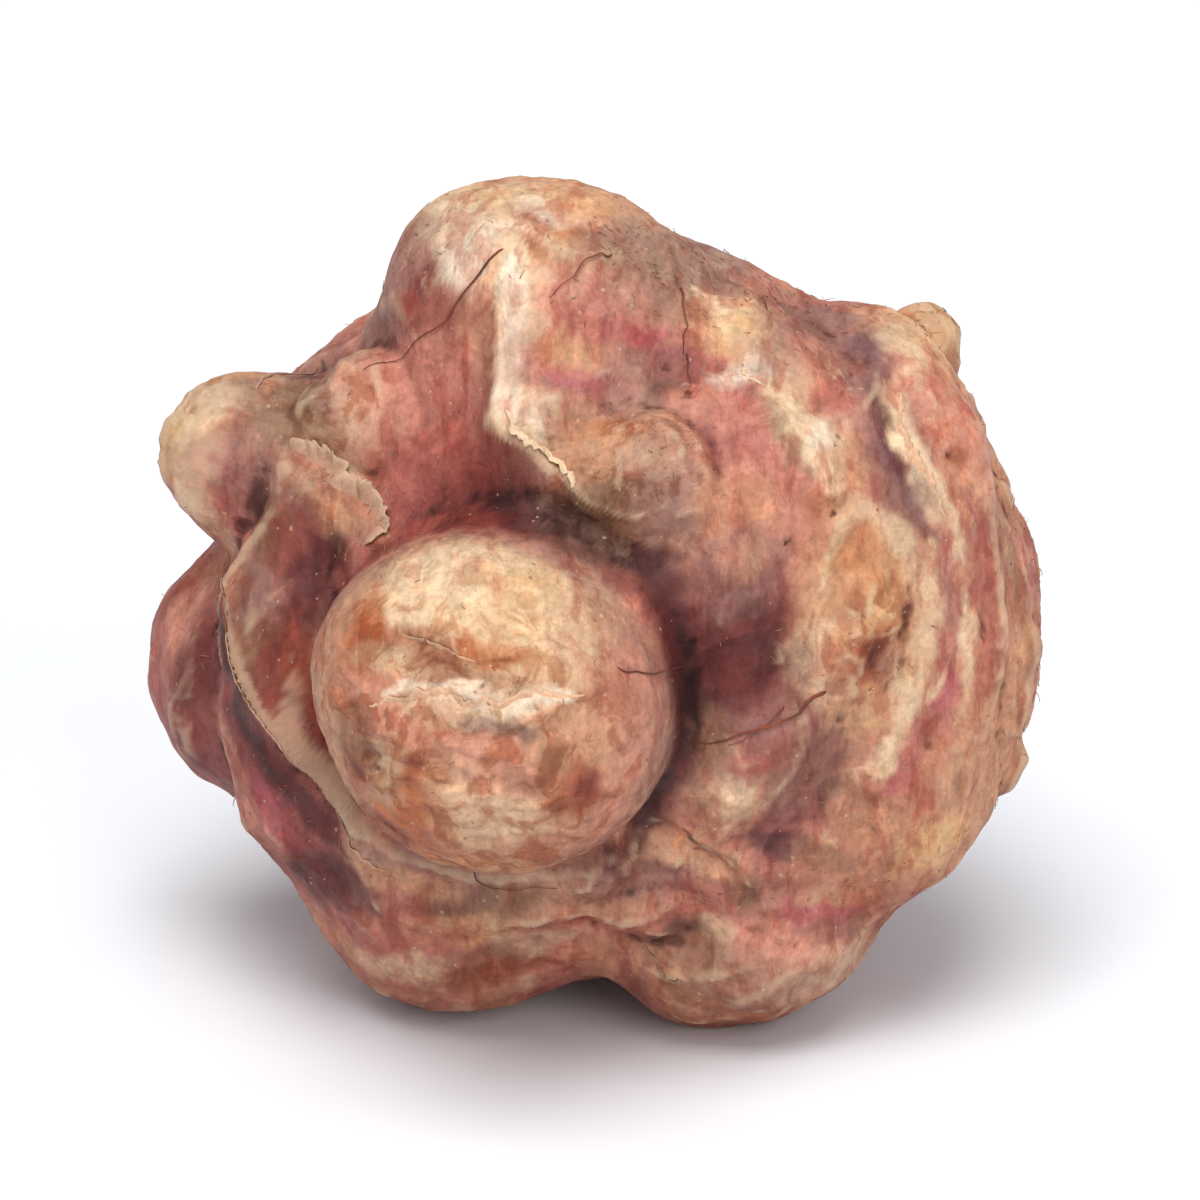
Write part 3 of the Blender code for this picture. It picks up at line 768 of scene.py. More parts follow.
PAINT = {  # in the order in which they are laid on
    "back": (
        ("mauve", 156, 40, 10, 6, 0.6, 10), ("peach", 128, 48, 7, 4, 0.6, 10), ("mauve", -150, 30, 7, 4),
        ("straw", 150, -24, 6, 2.4, 0.5), ("tan", 110, 0, 7, 14, 0.5), ("wine", 158, -6, 8, 4, 0.7, -10),
        ("tan", 140, 22, 7, 5, 0.8, 20), ("cream", 138, 26, 3.5, 2, 0.7), ("tan", 120, -12, 6, 7, 0.7),
        ("rust", 120, -12, 2, 2.4, 0.8), ("buff", 172, 12, 12, 10, 0.8), ("cream", 168, 20, 6, 3, 0.8, -10),
        ("straw", 176, 14, 4, 3), ("orange", 166, 8, 4, 1.6, 0.7, 20), ("rust", 178, 5, 2.4, 1.4, 0.8),
        ("buff", -142, 0, 10, 9, 0.8), ("cream", -146, 8, 5, 2.6, 0.8, 15), ("orange", -138, -2, 3, 2.4),
        ("rust", -146, -6, 2.4, 1.2, 0.7), ("tan", -160, 50, 6, 5, 0.8), ("cream", -156, 54, 3, 1.6),
        ("brown", -160, 50, 1.4, 1, 0.8), ("wine", 180, 34, 9, 3, 0.7, 5), ("magenta", 168, 32, 5, 0.9, 0.7, 5),
        ("tan", 170, -54, 12, 8, 0.8), ("salmon", 150, -36, 6, 3, 0.7), ("salmon", -120, 36, 7, 4, 0.7),
        ("peach", -120, 62, 8, 5, 0.7), ("wine", -108, 14, 3, 7), ("tan", ((140, 64), (142, 40), (138, 30)), 2.4),
        ("tan", ((137, 6), (136, -12), (140, -34)), 1.8, 0.5), ("wine", ((132, 4), (131, -12), (135, -32)), 1.4, 0.7),
        ("tan", ((-128, 62), (-112, 36), (-108, 18)), 1.8), ("rose", ((-124, 20), (-122, 4), (-124, -12)), 1.6),
        ("tan", ((-168, 40), (-170, 26), (-166, -14), (-172, -30)), 1.5, 0.5),
        ("straw", ((136, -8), (152, -13), (170, -23), (-168, -24), (-150, -22)), 1.2, 0.4),
        ("deep wine", ((138, -12), (152, -17), (168, -27)), 1, 0.7),
        ("straw", ((112, -28), (130, -34), (150, -38), (168, -33)), 0.9),
    ),
    "crown": (
        ("tan", -60, 76, 15, 11, 0.9), ("peach", -30, 80, 14, 8, 0.8), ("salmon", -2, 78, 7, 4, 0.7),
        ("cream", -50, 74, 8, 5, 0.6, -10), ("cream", -32, 70, 4.5, 3, 0.8), ("pale", -56, 70, 5.5, 3.4, 0.85, -20),
        ("cream", -80, 70, 4, 3, 0.7), ("straw", -70, 76, 4, 2, 0.5), ("rust", -36, 77, 2, 1.1, 0.7, 10),
        ("orange", -28, 72, 2.6, 0.9, 0.7, -10), ("orange", -16, 76, 2.4, 0.8, 0.6, 10),
        ("rust", -30, 73, 1, 0.6, 0.5), ("pale", -40, 79, 2.4, 1.2), ("straw", -20, 84, 4, 2, 0.5),
        ("mauve", -80, 60, 6, 4, 0.8, 30), ("wine", -62, 62, 1.4, 1, 0.9), ("olive", 23, 73, 6, 3.5, 0.65),
        ("grey", 45, 76, 6, 4), ("grey", 82, 73, 6, 3), ("salmon", -4, 66, 6, 2.6, 0.7), ("mauve", 12, 67, 5, 2, 0.5),
    ),
    "lower left": (
        # The salmon mark at azimuth -88 is a painted highlight on the red lobe.
        ("rose", -82, -6, 14, 13, 0.95), ("wine", -72, -16, 9, 9, 0.8), ("salmon", -88, 1, 2.4, 4.5, 0.85, 20),
        ("orange", -92, 4, 3, 1.2, 0.6, 30), ("rust", -98, -2, 3, 6), ("wine", -58, -20, 7, 9, 0.8),
        ("salmon", -66, -15, 1.8, 5, 0.5, 25), ("salmon", -62, -24, 3, 3, 0.5),
        ("magenta", -58, -20, 1.4, 4, 0.6, 20), ("deep wine", -52, -32, 5, 3, 0.8), ("deep wine", -78, -2, 3, 4),
        ("deep wine", ((-78, 8), (-71, 2), (-64, -3), (-58, -10), (-52, -18), (-47, -26)), 1.5, 0.9),
        ("umber", ((-74, 4), (-67, -1), (-61, -7), (-55, -14)), 0.7),
        ("brown", ((-70, 18), (-66, 12), (-61, 7), (-56, 1)), 2.2, 0.8),
        ("wine", ((-58, 0), (-55, -4), (-50, -10), (-45, -16)), 2.2, 0.85),
        ("olive", ((-66, 17), (-62, 11), (-57, 5), (-53, -1)), 1.4),
        ("wine", ((-58, 15), (-55, 6), (-51, -2), (-46, -9), (-42, -16)), 2, 0.85),
        ("buff", ((-77, 16), (-72, 11), (-67, 6.5), (-61, 1.5)), 0.45),
        ("buff", ((-61, 1.5), (-55, -4.5), (-50, -10.5), (-46, -16)), 0.3, 0.35),
        ("rust", ((-57, 12), (-54, 4), (-50, -4)), 0.9, 0.5),
        ("deep wine", ((-51, 16), (-49, 6), (-46, -3), (-42, -11), (-36, -18)), 1.2, 0.85),
        ("grey", ((-48, -14), (-45, -18), (-42, -22), (-36, -28)), 0.9, 0.8),
    ),
    "left": (
        ("tan", -84, 27, 9, 10, 0.8), ("cream", -80, 31, 4.5, 2.6, 0.85, 30), ("orange", -84, 21, 4.5, 3.4, 0.85),
        ("rust", -86, 16, 3.4, 2.4), ("straw", -82, 26, 2.6, 1.6), ("grey", -76, 36, 4, 2.2, 0.7, 30),
        ("mauve", -92, 42, 8, 3, 0.6, 20),
        ("cream", ((-79, 34), (-76.5, 28), (-77, 22), (-77, 15), (-72, 10)), 1, 0.85),
        ("rose", ((-76, 34), (-74, 28), (-73.5, 22), (-73, 16)), 1.7, 0.9), ("mauve", -69, 29, 3.2, 5, 0.85),
        ("mauve", -63, 17, 3, 5, 0.8), ("olive", -66, 22, 2, 2.6, 0.9), ("brown", -66, 22.5, 1.1, 0.9, 0.8),
        ("wine", -60, 24, 3, 4, 0.8), ("deep wine", -55, 22, 2.6, 6, 0.9),
        ("umber", ((-96, 42), (-86, 41), (-80, 38), (-74, 34.5), (-70, 34)), 0.45, 0.8),
        ("buff", -67, 42, 6, 5.5, 0.9), ("grey", -68, 43, 3.4, 3), ("olive", -74, 41, 3.6, 4),
        ("olive", -66, 38, 4.4, 1.2, 0.6, -10), ("cream", -55, 45, 3, 3, 0.9), ("tan", -60, 49, 4, 1.6),
        ("buff", -60, 33, 5, 2.8, 0.9, -25), ("tan", -52, 30, 3, 3, 0.85), ("brown", -57, 31.5, 2.4, 1, 0.4, -20),
        ("mauve", -50, 27, 1.4, 1.4, 0.5),
        ("cream", ((-67, 35), (-62, 37), (-57, 35.5), (-53, 34.5), (-49, 31.5), (-46, 28)), 0.5, 0.7),
    ),
    "valley": (
        ("mauve", -68, 56, 5, 3.5, 0.7, 30), ("pink", -48, 54, 7, 4.5, 0.7, 25), ("rose", -36, 52, 4, 5),
        ("wine", -51, 61, 4, 1.6, 0.7, 20), ("pink", -50, 52, 4, 2, 0.7), ("pink", -44, 45, 7, 4),
        ("rose", -40, 42, 6, 3, 0.7), ("wine", -34, 40, 6, 3, 0.7), ("wine", -22, 41, 5, 3.5, 0.8, -30),
        ("rose", -41, 34, 6, 2.5, 0.8), ("wine", -28, 36, 6, 2.5, 0.8), ("deep wine", -12, 37, 4.5, 2, 0.8, -10),
        ("deep wine", 2, 31.5, 6, 1.8, 0.85, -12), ("peach", ((-34, 70), (-29, 62), (-24, 55), (-19, 49)), 3, 0.85),
        ("pink", -8, 62, 5, 4), ("rose", -12, 56.5, 4, 1.4),
        ("wine", ((-40, 65), (-33, 61), (-29.5, 55), (-28, 49), (-23, 46.5)), 1.2),
        ("cream", ((-38, 72), (-28, 67), (-24, 61), (-23, 55), (-22, 50), (-17, 48)), 1.9, 0.95, 0.3),
        ("pale", ((-32, 69), (-26, 64), (-23.5, 57), (-22, 51), (-18, 49)), 1.4, 0.95),
        ("cream", ((-25, 52), (-20, 49.5), (-14, 47), (-8, 44)), 1.5, 0.9, 0.35),
        ("pale", ((-24, 51), (-18, 49), (-13, 47)), 0.9, 0.8), ("pale", -20, 51.5, 2.6, 1.8, 0.8),
        ("cream", ((-23, 55), (-15, 54), (-8, 52)), 1.7, 0.75), ("straw", ((-14, 46), (-10, 44), (-7, 41)), 0.5, 0.8),
        ("salmon", -12, 59, 2.6, 1.6), ("rose", 4, 60, 9, 3.4, 0.7), ("magenta", -1, 56.5, 4.5, 0.9, 0.8),
        ("magenta", 36, 60, 4, 0.7, 0.8, -15), ("magenta", 19, 64, 4, 0.6, 0.5), ("purple", 17, 59.5, 4.5, 1.8, 0.55),
        ("straw", -10, 61, 3, 1.2, 0.5),
    ),
    "button": (
        ("grey", 8, 43, 8.4, 8, 0.75), ("buff", 7, 44, 6, 6.5, 0.8), ("tan", -3, 47, 3, 3, 0.7),
        ("orange", 6, 50, 4, 0.8, 0.45, -10), ("rust", 11, 47, 2.5, 0.4, 0.4, -30), ("rust", 7, 42, 0.8, 0.5),
        ("olive", 1, 38, 4.5, 2.4, 0.7, -10), ("mauve", 14, 37, 4, 2.5),
        ("tan", ((12, 53), (19, 50), (22, 44), (20, 38)), 0.7, 0.8), ("umber", 22, 55.5, 2.2, 0.9),
        ("tan", 26, 54, 1.8, 0.7, 0.7),
    ),
    "right": (
        ("tan", ((70, 34), (72, 18), (72, 0), (66, -16)), 3),
        ("rose", ((66, 26), (68, 14), (67, 2), (62, -6)), 1, 0.7),
        ("cream", ((74, 26), (77, 12), (75, -4), (68, -18)), 0.7), ("salmon", ((80, 34), (82, 22), (80, 10)), 1.4),
        ("brown", ((76, 20), (78, 6), (76, -10)), 0.8, 0.5),
        ("tan", ((90, 34), (92, 14), (90, -8), (82, -26)), 3.5, 0.7),
        ("rust", ((86, 26), (88, 8), (86, -8)), 1.2, 0.5), ("rose", ((98, 34), (102, 10), (98, -12)), 2, 0.7),
        ("brown", 83, 21, 1.8, 1.6), ("rust", 77, 6, 1.2, 1.8, 0.7), ("tan", 78, -18, 4.5, 4, 0.9),
        ("brown", 80, -19, 2, 1.8), ("tan", 78, 0, 3.4, 3, 0.9), ("rust", 79, 0, 1.4, 1.2, 0.5),
        ("tan", 84, 20, 3.4, 3.4, 0.8), ("rust", 72, -8, 1.6, 0.8, 0.5), ("brown", 68, -26, 3, 1.6, 0.5, 30),
    ),
    "upper right": (
        ("rose", 33, 46, 5.5, 6, 0.7), ("pink", 34, 37, 5, 4, 0.8), ("tan", 26, 36, 3.5, 3),
        ("salmon", 30, 50, 4, 1.6, 0.5, -20), ("tan", 52, 61, 6, 3.4, 0.7, -30),
        ("cream", ((42, 70), (46, 63), (48, 57), (46, 51), (43, 47), (44, 42), (45, 37), (44, 31)), 2.3, 0.95, 0.35),
        ("straw", 47, 60, 3.5, 2.4, 0.6, -40), ("pale", 38.5, 55, 2.2, 1.3, 0.9, -20),
        ("pale", 48.5, 42, 2.6, 1.3, 0.85, 10), ("tan", ((51, 44), (51, 38), (49, 33)), 2, 0.7),
        ("brown", ((37, 52), (38, 47), (40, 42), (41, 36)), 0.6, 0.5), ("rust", 43.5, 32, 2.2, 0.8, 0.85, -25),
        ("umber", 44, 31.5, 0.9, 0.4, 0.8, -20), ("mauve", 68, 58, 8, 3.6, 0.75), ("salmon", 59, 49, 3.6, 4, 0.85),
        ("buff", 61, 51, 2, 1.6, 0.7), ("rose", 55, 46.5, 2, 1.6),
        ("mauve", ((86, 58), (75, 51), (65, 43), (59, 36), (56, 28), (57, 17)), 2.8, 0.9),
        ("purple", ((76, 50), (65, 41.5), (60, 36), (58, 28), (58, 20)), 1.5, 0.8),
        ("deep wine", ((68, 44), (63, 40), (59, 35), (58, 30)), 0.5, 0.5), ("straw", 92, 41, 5, 5, 0.7),
        ("peach", 84, 45, 3, 4, 0.7), ("orange", 99, 46, 2.4, 1.6), ("rust", 92, 35, 1.8, 1.2),
        ("cream", 80, 46, 2, 1.6),
        ("cream", ((84, 49), (77, 43), (67, 41), (62, 36), (61.5, 29), (62, 22), (63, 12), (63, 2), (60, -6)),
            0.8, 0.75),
        ("cream", ((66, 40.5), (62, 37), (61, 31), (62, 25)), 0.5, 0.8), ("salmon", 74, 32, 3.6, 6, 0.85, 15),
        ("rust", 68, 30, 1, 0.9), ("umber", 34, 29, 0.6, 0.5, 0.8), ("umber", 49, 41, 0.4, 0.3, 0.8),
    ),
    "eye": (
        ("tan", 45, 14, 6.5, 10, 0.85), ("straw", 44, 12, 5, 8, 0.5), ("orange", 46, 23, 2.6, 2.6, 0.4),
        ("buff", 41, 18, 2.6, 3, 0.5),
        ("cream", ((38, 20), (42, 27), (48, 29.5), (54, 25), (56, 16), (55, 8), (52, 0), (47, -8), (43, -13)), 1.1),
        # The cream and grey marks at azimuth 35 to 37.5 are a painted sheen beside the eye's pit.
        ("cream", 37.5, 9, 2.4, 3.6, 0.75), ("grey", 35, 9, 1.2, 2.4, 0.5), ("orange", 44, 9, 3, 3, 0.5),
        ("rust", 45, 8, 2.5, 2.4, 0.9), ("brown", 45.5, 8, 1.4, 1.3), ("cream", 51, 5, 2, 2.4),
        ("rust", 41, 0, 1, 0.8), ("straw", 41, -2, 2.4, 1.6), ("olive", 31.5, 13, 1.2, 5, 0.5, 5),
    ),
    "cheek": (
        ("mauve", 29, -7, 7, 6.5, 0.8), ("buff", 18, -9, 2.6, 5, 0.7), ("tan", 22, -14, 3.5, 2.5),
        ("wine", 30, -3, 5, 1.6, 0.5), ("rose", 24, -4, 2.2, 0.8, 0.7, -20), ("brown", 34, -9, 3.5, 3, 0.4),
        ("cream", 22, -11, 2.6, 3, 0.7), ("purple", 40, -14, 1.4, 3, 0.4, 10),
        ("deep wine", 36, -23, 5, 1.4, 0.75, -12), ("purple", 31, -22, 3, 1.2, 0.6, -20),
        ("cream", ((58, 4), (53, -3), (48, -8), (44, -11)), 1.1, 0.7), ("buff", 44, -16, 3, 2.6, 0.7),
        ("brown", ((43, -12), (45, -16), (42, -21)), 0.6),
        ("magenta", ((60, 2), (57, -4), (53, -9), (47, -14)), 1.5, 0.75),
        ("rose", ((57, -3), (53, -10), (54, -15)), 2), ("purple", 59, -14, 1.3, 1.2, 0.9),
        ("tan", 66, -12, 7, 6, 0.7), ("tan", 52, -27, 8, 6, 0.7), ("straw", 56, -22, 4, 2, 0.6, 30),
    ),
    "low": (
        ("tan", 12, -22, 6, 3, 0.7, -10), ("cream", 17, -24, 4, 1.5, 0.5, -20),
        ("umber", ((13, -17.5), (17, -20.5), (21, -23.5), (25, -27)), 0.45, 0.8),
        ("tan", ((12, -19), (17, -22.5), (22, -26), (27, -30)), 1, 0.7), ("olive", 27, -31, 2, 1.5, 0.8, -30),
        ("salmon", 34, -38, 5, 3, 0.8), ("magenta", ((34, -33), (40, -34), (48, -33)), 0.9, 0.7),
        ("purple", ((36, -36), (43, -36), (50, -34)), 0.8, 0.5), ("cream", 21, -40, 1.6, 1.8, 0.8),
        ("brown", 14, -43, 4, 2.6, 0.65), ("umber", 12, -40, 2.4, 0.9, 0.5, 20), ("tan", 29, -49, 8, 4.5, 0.8),
        ("brown", 21, -49, 3, 1.6, 0.5), ("cream", 45, -42, 4.5, 2, 0.7, 20), ("orange", 36, -50, 5, 1.4, 0.5),
        ("rust", 44, -53, 6, 1.4, 0.6, 15), ("grey", -12, -30, 11, 3.5), ("mauve", -28, -27, 6, 2, 0.6, -10),
        ("tan", -2, -33, 6, 3), ("grey", 34, -45, 8, 3, 0.5), ("mauve", 6, -28, 6, 2.6, 0.7),
        ("brown", 2, -25, 5, 1.4, 0.5), ("salmon", 0, -42, 4, 2), ("cream", -12, -44, 4, 1.8, 0.7),
        ("olive", -23, -34, 6, 1.6, 0.75, 5), ("tan", -36, -29, 5, 1.6, 0.8, -20), ("straw", -28, -39, 6, 1.6),
        ("brown", -30, -46, 6, 2), ("rose", -40, -40, 5, 1.4), ("cream", -44, -45, 4, 1.6), ("rust", -22, -49, 3, 1),
    ),
    "pocket": (
        ("wine", 21, 17, 6.5, 6.5, 0.95), ("deep wine", 24, 14, 5, 5.5, 0.98), ("umber", 27, 12, 3, 2.6, 0.4),
        ("deep wine", 19, 8, 4, 3.6, 0.85), ("wine", 21, 14, 4.5, 5, 0.35), ("rose", 18, 14, 0.8, 2.6, 0.5),
        ("deep wine", ((6, 33), (10, 29), (13, 21), (15, 10), (13.5, 0), (10, -9), (7, -18), (0, -25)), 2.4, 0.9),
        ("umber", ((11, -4), (9, -12), (6, -19)), 1.6), ("olive", 17, 2, 2, 3, 0.5), ("mauve", 25, 26, 4, 3.6, 0.85),
        ("tan", 26, 28, 2.4, 1.6, 0.4),
    ),
    "front": (
        ("mauve", -19, 3, 18, 17, 0.6, -35, 0.2), ("grey", -18, 3, 16, 15.5, 0.8, -35, 0.25),
        ("tan", -19, 4, 13.5, 13, 0.9, -35, 0.3), ("cream", -16, 25, 7.5, 2.4, 0.85, -8), ("straw", -12, 20, 5, 3),
        ("cream", -24, 21, 4.5, 2, 0.85), ("cream", -8, 17, 4, 3), ("orange", -30, 16, 1.8, 3.4, 0.75, 20),
        ("rust", -33, 12, 1.4, 3, 0.4, 10), ("rust", -22, 17, 4, 0.8, 0.45, -5),
        ("brown", -19, 14.5, 5.5, 0.9, 0.5, -6), ("orange", -14, 17, 2.4, 0.8), ("cream", -27, 14, 2.6, 1.2),
        ("salmon", -22, 8.5, 6, 2.2, 0.7),
        ("pale", ((-27, 10), (-22, 12), (-16, 12.5), (-12, 11), (-7, 12), (-3, 11)), 0.6, 0.75),
        ("cream", -17, 10, 4, 1.2), ("grey", -12, 8.5, 2.4, 0.9, 0.8), ("olive", -10, 8, 1, 0.6, 0.5),
        ("brown", -30, 2.5, 2, 2.6, 0.65), ("rust", -31, -2, 1.6, 2.2, 0.5), ("cream", -26, 0, 1.4, 2, 0.5),
        ("rust", -20, 1.5, 1.2, 1.6, 0.8), ("orange", -21, -4, 1.8, 3.4, 0.8), ("orange", -25, -8, 1.6, 2.2, 0.7),
        ("orange", -20, -12, 2.6, 1.4, 0.7), ("rust", -28, -10, 1.4, 2.2, 0.6, 20), ("cream", -14, -4, 3.5, 4, 0.7),
        ("salmon", -12, 3, 3, 2), ("straw", -16, -14, 4, 1.8), ("brown", -9, 2, 1.4, 1, 0.4),
        ("olive", -6, 5, 1, 1.2, 0.5), ("rust", -3, 0, 1.8, 1.8, 0.75), ("wine", -2, 1, 0.7, 0.8, 0.7),
        ("orange", -11, -9, 3, 1.2, 0.4, 20), ("pink", 4, 12, 2.2, 5, 0.5, 10), ("salmon", 2, -2, 2, 4, 0.5, -20),
        ("buff", -2, 20, 3, 2, 0.5, -30),
    ),
}

# %% Lay the paint on
RUN = ((7 * MM, 0.6, 61), (2.6 * MM, 0.8, 65), (1.2 * MM, 0.6, 69))  # size, reach in mm and seed of how paint runs
THINNEST = 0.05  # share of a stroke's width that is left at its ends
RICHNESS = 1.05  # how far each colour is pushed from grey


def run(points):
    """Displaces places in all directions, in mm, by clouds at three sizes, so that edges come out ragged."""
    return sum(reach * drift(points, size, seed) for size, reach, seed in RUN)


def fade(out, mark):
    """The mark's strength within 1 of its middle, easing to 0 outside it over its softness."""
    return mark.strength * (1.0 - smooth_step(1.0 - mark.soft, 1.0 + mark.soft, out))


def patch_cover(places, patch):
    """How much of the patch's pigment lies at each place: 1 inside its ellipse, easing to 0 outside it."""
    x, y = across_and_up(places, patch)
    return this_side(unit(places), patch) * fade(np.hypot(x / patch.across, y / patch.tall), patch)


def stroke_cover(places, stroke):
    """The same for a band: by the distance to its way, with both ends tapered."""
    away, _, arch = beside(unit(places), stroke.way)
    return fade(away / (stroke.width * np.maximum(arch**0.5, THINNEST)), stroke)


def lay(paint, pigment, cover):
    """Moves the paint towards a pigment, by its cover at each place."""
    paint += cover[:, None] * (PIGMENTS[pigment] - paint)


def ground_paint(points, hollow):
    """Young pink skin with wine and tan clouds, darker in the wide hollows and paler on the rises, partly painted
    shade and light.
    """
    paint = np.tile(PIGMENTS["pink"], (len(points), 1))
    streaked = points * (2.2, 1.0, 1.0)
    for pigment, low, high, amount, seen in (
        ("tan", 0.0, 0.5, 0.75, cloud(streaked, 9 * MM, 81)),
        ("mauve", 0.0, 0.5, 0.6, cloud(streaked, 8 * MM, 84)),
        ("wine", 0.15, 0.55, 0.6, cloud(streaked, 11 * MM, 87)),
        ("cream", 0.25, 0.6, 0.6, cloud(streaked, 6 * MM, 90)),
        # The wide hollows get wine and the rises tan: partly the skin's own colours, partly painted shade and painted
        # light.
        ("wine", 0.2, 1.0, 0.7, hollow),
        ("tan", 0.5, 1.4, 0.6, -hollow),
    ):
        lay(paint, pigment, amount * smooth_step(low, high, seen))
    return paint


places = (skin_place - middle) / MM + run(skin_place)
paint = ground_paint(skin_place, wide_hollow)
on_front = 1.0 - off_knobs(skin_ways, ("front",), 0.9, 1.0)
for region, rows in PAINT.items():
    for row in rows:
        is_stroke = isinstance(row[1], tuple)
        cover = stroke_cover(places, Stroke(*row)) if is_stroke else patch_cover(places, Patch(*row))
        lay(paint, row[0], cover * (on_front if region == "front" else 1.0))
grey = paint @ (0.3, 0.6, 0.1)
paint = np.maximum(grey[:, None] + RICHNESS * (paint - grey[:, None]), 0.01)
# Painted shade: darker in the wide hollows and on the skin that faces down, with red darkened a little less.
shade = 0.35 * smooth_step(0.2, 1.2, wide_hollow) + 0.5 * smooth_step(-0.1, 0.9, -normals[:, 2])
paint *= 1.0 - shade[:, None] * (0.75, 1.0, 1.0)
print(sum(map(len, PAINT.values())), "marks of paint; mean colour", paint.mean(axis=0).round(3))

# %% Store what the material reads


def store(mesh, name, values):
    """A number or a colour on each point of a mesh."""
    kind, key = ("FLOAT", "value") if values.ndim == 1 else ("FLOAT_COLOR", "color")
    if values.ndim == 2:
        values = np.column_stack((values, np.ones(len(values))))
    attribute = mesh.attributes.new(name, kind, "POINT")
    attribute.data.foreach_set(key, values.astype(np.float32).ravel())


store(skin.data, "paint", paint)
store(skin.data, "fine hollow", fine_hollow)
store(skin.data, "corky", corkiness(skin_ways))
print("attributes:", [a.name for a in skin.data.attributes if not a.is_internal])

# %% [markdown]
# ## Effects that the materials share
#
# Each effect is a node group, built once and placed in every material that needs it, with its own values.

# %% Helpers for node trees


def wire(tree, source, target):
    """Joins a socket, or sets a plain value."""
    if isinstance(source, bpy.types.NodeSocket):
        tree.links.new(source, target)
    else:
        target.default_value = source


def add(tree, kind, settings=None, **inputs):
    """A node with its settings and inputs; an input's name has _ for a space, or is its number after i."""
    made = tree.nodes.new(kind)
    for key, value in (settings or {}).items():
        setattr(made, key, value)
    for key, value in inputs.items():
        wire(tree, value, made.inputs[int(key[1:]) if key[1:].isdigit() else key.replace("_", " ")])
    return made


def calculate(tree, operation, *values):
    """The result of a Math node."""
    made = add(tree, "ShaderNodeMath", {"operation": operation})
    for value, socket in zip(values, made.inputs):
        wire(tree, value, socket)
    return made.outputs[0]


def times(tree, one, other):
    """The product of two values."""
    return calculate(tree, "MULTIPLY", one, other)


def ramp(tree, value, low, high, start=0.0, end=1.0):
    """A value eased from start to end as the input goes from low to high."""
    made = add(tree, "ShaderNodeMapRange", {"interpolation_type": "SMOOTHSTEP"})
    for socket, number in zip(made.inputs, (value, low, high, start, end)):
        wire(tree, number, socket)
    return made.outputs[0]


def blend(tree, share, first, second, how="MIX"):
    """Two colours mixed."""
    made = add(tree, "ShaderNodeMix", {"data_type": "RGBA", "blend_type": how})
    for socket, value in ((made.inputs[0], share), (made.inputs[6], first), (made.inputs[7], second)):
        wire(tree, (*value, 1.0) if isinstance(value, np.ndarray) else value, socket)
    return made.outputs[2]


def texture(tree, spot, scale, detail=4.0, roughness=0.5, distortion=0.0):
    """The outputs of a noise texture: its value and its colour."""
    made = add(tree, "ShaderNodeTexNoise", Vector=spot, Scale=scale, Detail=detail, Roughness=roughness)
    made.inputs["Distortion"].default_value = distortion
    return made.outputs


def reckon(tree, operation, spot, *values):
    """A place moved or stretched by a Vector Math node."""
    made = add(tree, "ShaderNodeVectorMath", {"operation": operation}, i0=spot)
    wire(tree, values[0], made.inputs["Scale" if operation == "SCALE" else 1])
    return made.outputs[0]


def new_group(name, inputs, outputs):
    """An empty node group: its tree, and its input sockets and output sockets by name."""
    tree = bpy.data.node_groups.new(name, "ShaderNodeTree")
    for title, kind, value in inputs:
        tree.interface.new_socket(title, in_out="INPUT", socket_type=kind).default_value = value
    for title, kind in outputs:
        tree.interface.new_socket(title, in_out="OUTPUT", socket_type=kind)
    taken = tree.nodes.new("NodeGroupInput").outputs
    given = tree.nodes.new("NodeGroupOutput").inputs
    return tree, taken, given


def place(tree, group, **inputs):
    """A copy of a group in a material, with its inputs set by name."""
    return add(tree, "ShaderNodeGroup", {"node_tree": group}, **inputs).outputs


FLOAT, COLOUR, VECTOR = "NodeSocketFloat", "NodeSocketColor", "NodeSocketVector"

# %% [markdown]
# ### Mottle
#
# Close up, skin is a crowd of cells, no two of one colour. Two noises make it lighter and darker: a fine one for
# the cells, and a coarser one, pulled out across the growth, for streaks. They also give a little height.

# %% Mottle


def build_mottle():
    tree, taken, given = new_group(
        "mottle",
        (("Place", VECTOR, (0, 0, 0)), ("Colour", COLOUR, (1, 1, 1, 1)), ("Cell", FLOAT, 0.6), ("Amount", FLOAT, 0.5)),
        (("Colour", COLOUR), ("Height", FLOAT)),
    )
    scale = calculate(tree, "DIVIDE", 1.0 / MM, taken["Cell"])
    fine = texture(tree, taken["Place"], scale, 4.0, 0.65)[0]
    streak_place = reckon(tree, "MULTIPLY", taken["Place"], (2.4, 1.0, 0.8))
    streak = texture(tree, streak_place, times(tree, scale, 0.22), 5.0, 0.6)[0]
    both = calculate(tree, "ADD", times(tree, fine, 0.6), times(tree, streak, 0.7))
    sway = times(tree, calculate(tree, "SUBTRACT", both, 0.65), 2.2)
    gain = calculate(tree, "ADD", 1.0, times(tree, sway, taken["Amount"]))
    grey = add(tree, "ShaderNodeCombineColor", i0=gain, i1=gain, i2=gain).outputs[0]
    wire(tree, blend(tree, 1.0, taken["Colour"], grey, "MULTIPLY"), given["Colour"])
    wire(tree, both, given["Height"])
    return tree


mottle = build_mottle()
print("group", mottle.name)

# %% [markdown]
# ### Specks
#
# Breathing pores and grains of soil dot the skin. A Voronoi texture scatters one point to a cell; a random number
# for each cell leaves most of them out and gives the rest their sizes.

# %% Specks


